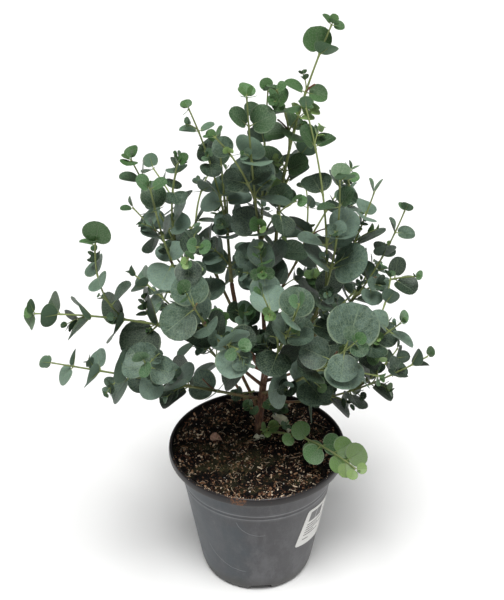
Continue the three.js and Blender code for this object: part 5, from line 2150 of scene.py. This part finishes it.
STEMS = (
    Stem("tall_leader", (18, 20, 350), (14, 23, 477), (63, -10, 618), 7, 31, 2.5, 0.12, (
        SideShoot(0.35, (52, 30, 500), 3, 27),
        SideShoot(0.55, (16, -12, 560), 3, 24),
    ), Tint.GREEN),
    Stem("centre_tall", (15, 19, 305), (-2, -14, 420), (-10, -30, 560), 6, 38, 2.2, 0.3, (
        SideShoot(0.18, (4, -62, 404), 3, 33),
        SideShoot(0.4, (34, -50, 470), 3, 29),
        SideShoot(0.6, (-38, -42, 528), 3, 26),
    )),
    Stem("left_upright", (-26, 15, 350), (-30, 14, 420), (-36, 8, 505), 5, 33, 2.1, 0.1, (
        SideShoot(0.42, (-62, -10, 542), 4, 24),
        SideShoot(0.25, (-30, 50, 455), 3, 26),
    )),
    Stem("left_long", (1.5, 18, 190), (-50, 24, 318), (-112, -45, 508), 8, 34, 2.5, 0.38, (
        SideShoot(0.55, (-118, -2, 440), 3, 28),
        SideShoot(0.72, (-72, -30, 498), 3, 27),
    )),
    Stem("left_middle", (5, 18, 222), (-76, -46, 338), (-92, -88, 500), 7, 34, 2.4, 0.36, (
        SideShoot(0.62, (-52, -100, 450), 3, 29),
    )),
    Stem("far_left", (-13, 16.5, 268), (-98, -27, 337), (-212, -50, 352), 6, 40, 2.3, 0.3, (
        SideShoot(0.62, (-150, -42, 422), 3, 30),
    ), Tint.GREEN),
    Stem("left_low", (2, 18, 204), (-84, -69, 286), (-194, -80, 316), 7, 34, 2.3, 0.24, (
        SideShoot(0.42, (-104, -104, 334), 4, 39),
    )),
    Stem("front_left", (9, -16, 262), (-39, -62, 314), (-62, -116, 412), 6, 38, 2.2, 0.22, (
        SideShoot(0.5, (-18, -112, 352), 3, 35),
    )),
    Stem("front_centre", (14, -34, 290), (23, -76, 326), (36, -116, 402), 5, 37, 2, 0.1, (
        SideShoot(0.3, (4, -96, 400), 3, 32),
    )),
    Stem("front_right", (7, 14, 214), (49, -64, 284), (86, -122, 366), 6, 42, 2.4, 0.3, (
        SideShoot(0.6, (112, -96, 312), 3, 28),
    )),
    Stem("right_low", (2, 18, 203), (73, -10, 206), (170, -24, 286), 7, 31, 2.1, 0.34, (
        SideShoot(0.62, (146, 18, 268), 3, 25),
    ), Tint.DUSKY),
    Stem("right_middle", (58, 24, 300), (92, 22, 368), (112, 20, 446), 5, 35, 2, 0.14, (
        SideShoot(0.5, (84, -4, 470), 3, 26),
        SideShoot(0.3, (104, 62, 400), 3, 28),
    )),
    Stem("right_upper", (17, 20, 243), (80, -44, 350), (72, -54, 492), 6, 39, 2.4, 0.34, (
        SideShoot(0.55, (42, -26, 548), 4, 30),
    )),
    Stem("right_outer", (30, 21, 262), (104, 18, 302), (142, 16, 428), 6, 29, 1.9, 0.34, (
        SideShoot(0.55, (152, -14, 372), 3, 24),
        SideShoot(0.45, (118, 48, 352), 3, 25),
    )),
    Stem("right_forward", (10, 12, 232), (94, -49, 300), (134, -64, 350), 5, 33, 2, 0.42, (
        SideShoot(0.66, (128, -20, 374), 3, 24),
    )),
    Stem("front_low", (2, 18, 157), (46, -30, 205), (98, -82, 190), 6, 24, 1.7, 0.4, (
    ), Tint.FRESH),
    Stem("back_left", (-20.5, 16, 305), (-60, 60, 380), (-108, 112, 430), 6, 37, 2.1, 0.2, (
        SideShoot(0.5, (-48, 104, 432), 3, 28),
    )),
    Stem("back_right", (8, 52, 284), (50, 90, 350), (98, 120, 424), 6, 37, 2, 0.2, (
        SideShoot(0.45, (52, 132, 400), 3, 28),
    )),
    Stem("back_tall", (4, 66, 320), (4, 84, 430), (10, 74, 528), 6, 36, 2, 0.14, (
        SideShoot(0.4, (46, 70, 470), 3, 28),
    )),
    Stem("back_low_left", (1, 18, 176), (-60, 75, 262), (-132, 104, 306), 6, 38, 2.1, 0.34, (
        SideShoot(0.6, (-74, 128, 292), 3, 30),
    )),
    Stem("back_low_right", (1, 18, 191), (66, 80, 262), (132, 106, 312), 6, 38, 2.1, 0.34, (
        SideShoot(0.55, (66, 138, 300), 3, 30),
    )),
)

# The woody lengths: start, bend, end, and the radius at both ends.
WOOD = (
    ((2, 18, 112), (0, 18, 190), (11, 18, 252), (5.6, 4.2)),
    ((10.5, 18, 247), (15, 19, 300), (18, 20, 350), (4, 2.9)),
    ((9, 18, 238), (-16, 16, 266), (-26, 15, 350), (3.3, 2.5)),
    ((8, 18, 232), (30, 22, 262), (58, 24, 300), (3.2, 2.3)),
    ((7, 17, 226), (8, -8, 248), (14, -34, 290), (3, 2.2)),
    ((9, 19, 236), (9, 48, 262), (4, 66, 320), (3, 2.2)),
)

# Small growth on the old wood, and two cut stubs, which only the looks have.
SPROUTS = tuple(
    Shoot(owner, Curve.through(*line), pairs, leaf, 0.35, (1.0, 0.5), seed, Tint.GREEN, 2)
    for owner, line, pairs, leaf, seed in (
        ("front_low", ((4, 13, 166), (9, 4, 172), (14, -3, 183)), 2, 15, 31),
        ("left_low", ((-1, 14, 196), (-5, 5, 200), (-9, -2, 209)), 3, 12, 52),
        ("right_low", ((6, 15, 196), (14, 6, 200), (24, -4, 207)), 2, 19, 73),
        ("left_low", ((-3, 18, 214), (-13, 12, 214), (-24, 6, 219)), 3, 13, 94),
        ("centre_tall", ((13, 18, 262), (8, 8, 272), (2, -6, 290)), 4, 20, 35),
        ("left_upright", ((-15, 16, 266), (-20, 4, 276), (-22, -12, 296)), 4, 21, 58),
        ("centre_tall", ((15, 19, 292), (22, 6, 300), (26, -12, 318)), 4, 20, 77),
        ("left_upright", ((-23, 15, 310), (-18, 2, 318), (-10, -14, 332)), 4, 19, 88),
        ("tall_leader", ((17, 20, 335), (10, 8, 342), (4, -8, 356)), 4, 19, 99),
        ("front_right", ((68.5, -95, 329), (70, -101, 340), (76, -108, 353)), 0, 0, 15),
        ("front_left", ((-56.5, -105.5, 391), (-56, -112, 398), (-50, -119, 409)), 0, 0, 16),
    )
)

# Leaves that stand out: the large pale pairs, the round dark ones and those at the ends.
FEATURES = (
    Feature("front_right", 0, 7, 72, 8, 42, 0.5),
    Feature("front_right", 0, 6, 128, 0, 36, 0.35),
    Feature("front_right", 0, 8, 262, 10, 26, 0.6),
    Feature("centre_tall", 0, 4, 96, 6, 37, 0.6),
    Feature("centre_tall", 0, 2, 112, 4, 34, 0.35),
    Feature("front_left", 0, 8, 104, 12, 38, 0.55),
    Feature("front_left", 0, 9, 196, 8, 36, 0.4),
    Feature("far_left", 1, 4, 74, 42, 25, 0.05),
    Feature("far_left", 0, 10, 150, 45, 20, 0.3),
    Feature("tall_leader", 0, 11, -70, -55, 12, 0.3),
    Feature("tall_leader", 0, 10, 98, 16, 23, 0.1),
    Feature("front_centre", 0, 6, 80, 8, 28, 0.4),
    Feature("left_low", 1, 1, 165, 6, 40, 0.45),
)


def main() -> None:
    """Builds the pot, the soil, the plant and the studio, and notes the size."""
    logging.basicConfig(level=logging.INFO, format="%(name)s: %(message)s")
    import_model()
    cad_low, cad_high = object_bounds()
    low, high = np.array(cad_low) / MM, np.array(cad_high) / MM
    pot, soil = Pot(), Soil()
    pot.build(PotFinish().material())
    Sticker().build(pot, StickerFinish().material())
    peat, bits = PeatFinish().material(), PeatFinish(name="peat_bits", bump=0.4).material()
    soil.build(peat)
    for kind in Litter:
        Scatter(soil, kind).build(StoneFinish().material() if kind is Litter.PERLITE else bits)
    dead = DryFinish("dead_leaf", linear(196, 158, 142), linear(140, 104, 88))
    # pale husk colour, lightened further as painted light to offset the shade of the leaves over
    # the dry strip
    husk_with_painted_light = DryFinish("pale_husk", linear(236, 236, 216), linear(186, 186, 162))
    for fallen, finish in (
        (FallenLeaf("fallen_leaf", (-44, 8.5, 2.8), heading=20, tilt=-6, size=13.5, wide=0.95,
                    cup=0.25), dead),
        (FallenLeaf("dry_strip", (26, 24, 9.5), heading=-28, tilt=-32, size=28, wide=0.3,
                    cup=0.6), husk_with_painted_light),
        (FallenLeaf("pale_scrap", (2.5, 9.5, 2.6), heading=10, tilt=10, size=14, wide=0.7,
                    cup=0.4), husk_with_painted_light),
    ):
        fallen.build(soil, finish)
    Trunk(WOOD).build(BarkFinish().material())
    plant = Plant(STEMS, WOOD, low, high, sprouts=SPROUTS, features=FEATURES)
    plant.grow()
    leaf, twig = LeafFinish().material(), TwigFinish().material()
    for number, stem in enumerate(STEMS):
        own = [shoot for shoot in plant.shoots if shoot.owner == stem.name]
        LeafyStem(stem.name, own, low, high, number).build(leaf, twig)
    Studio().build()
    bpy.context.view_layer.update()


if __name__ == "__main__":
    main()
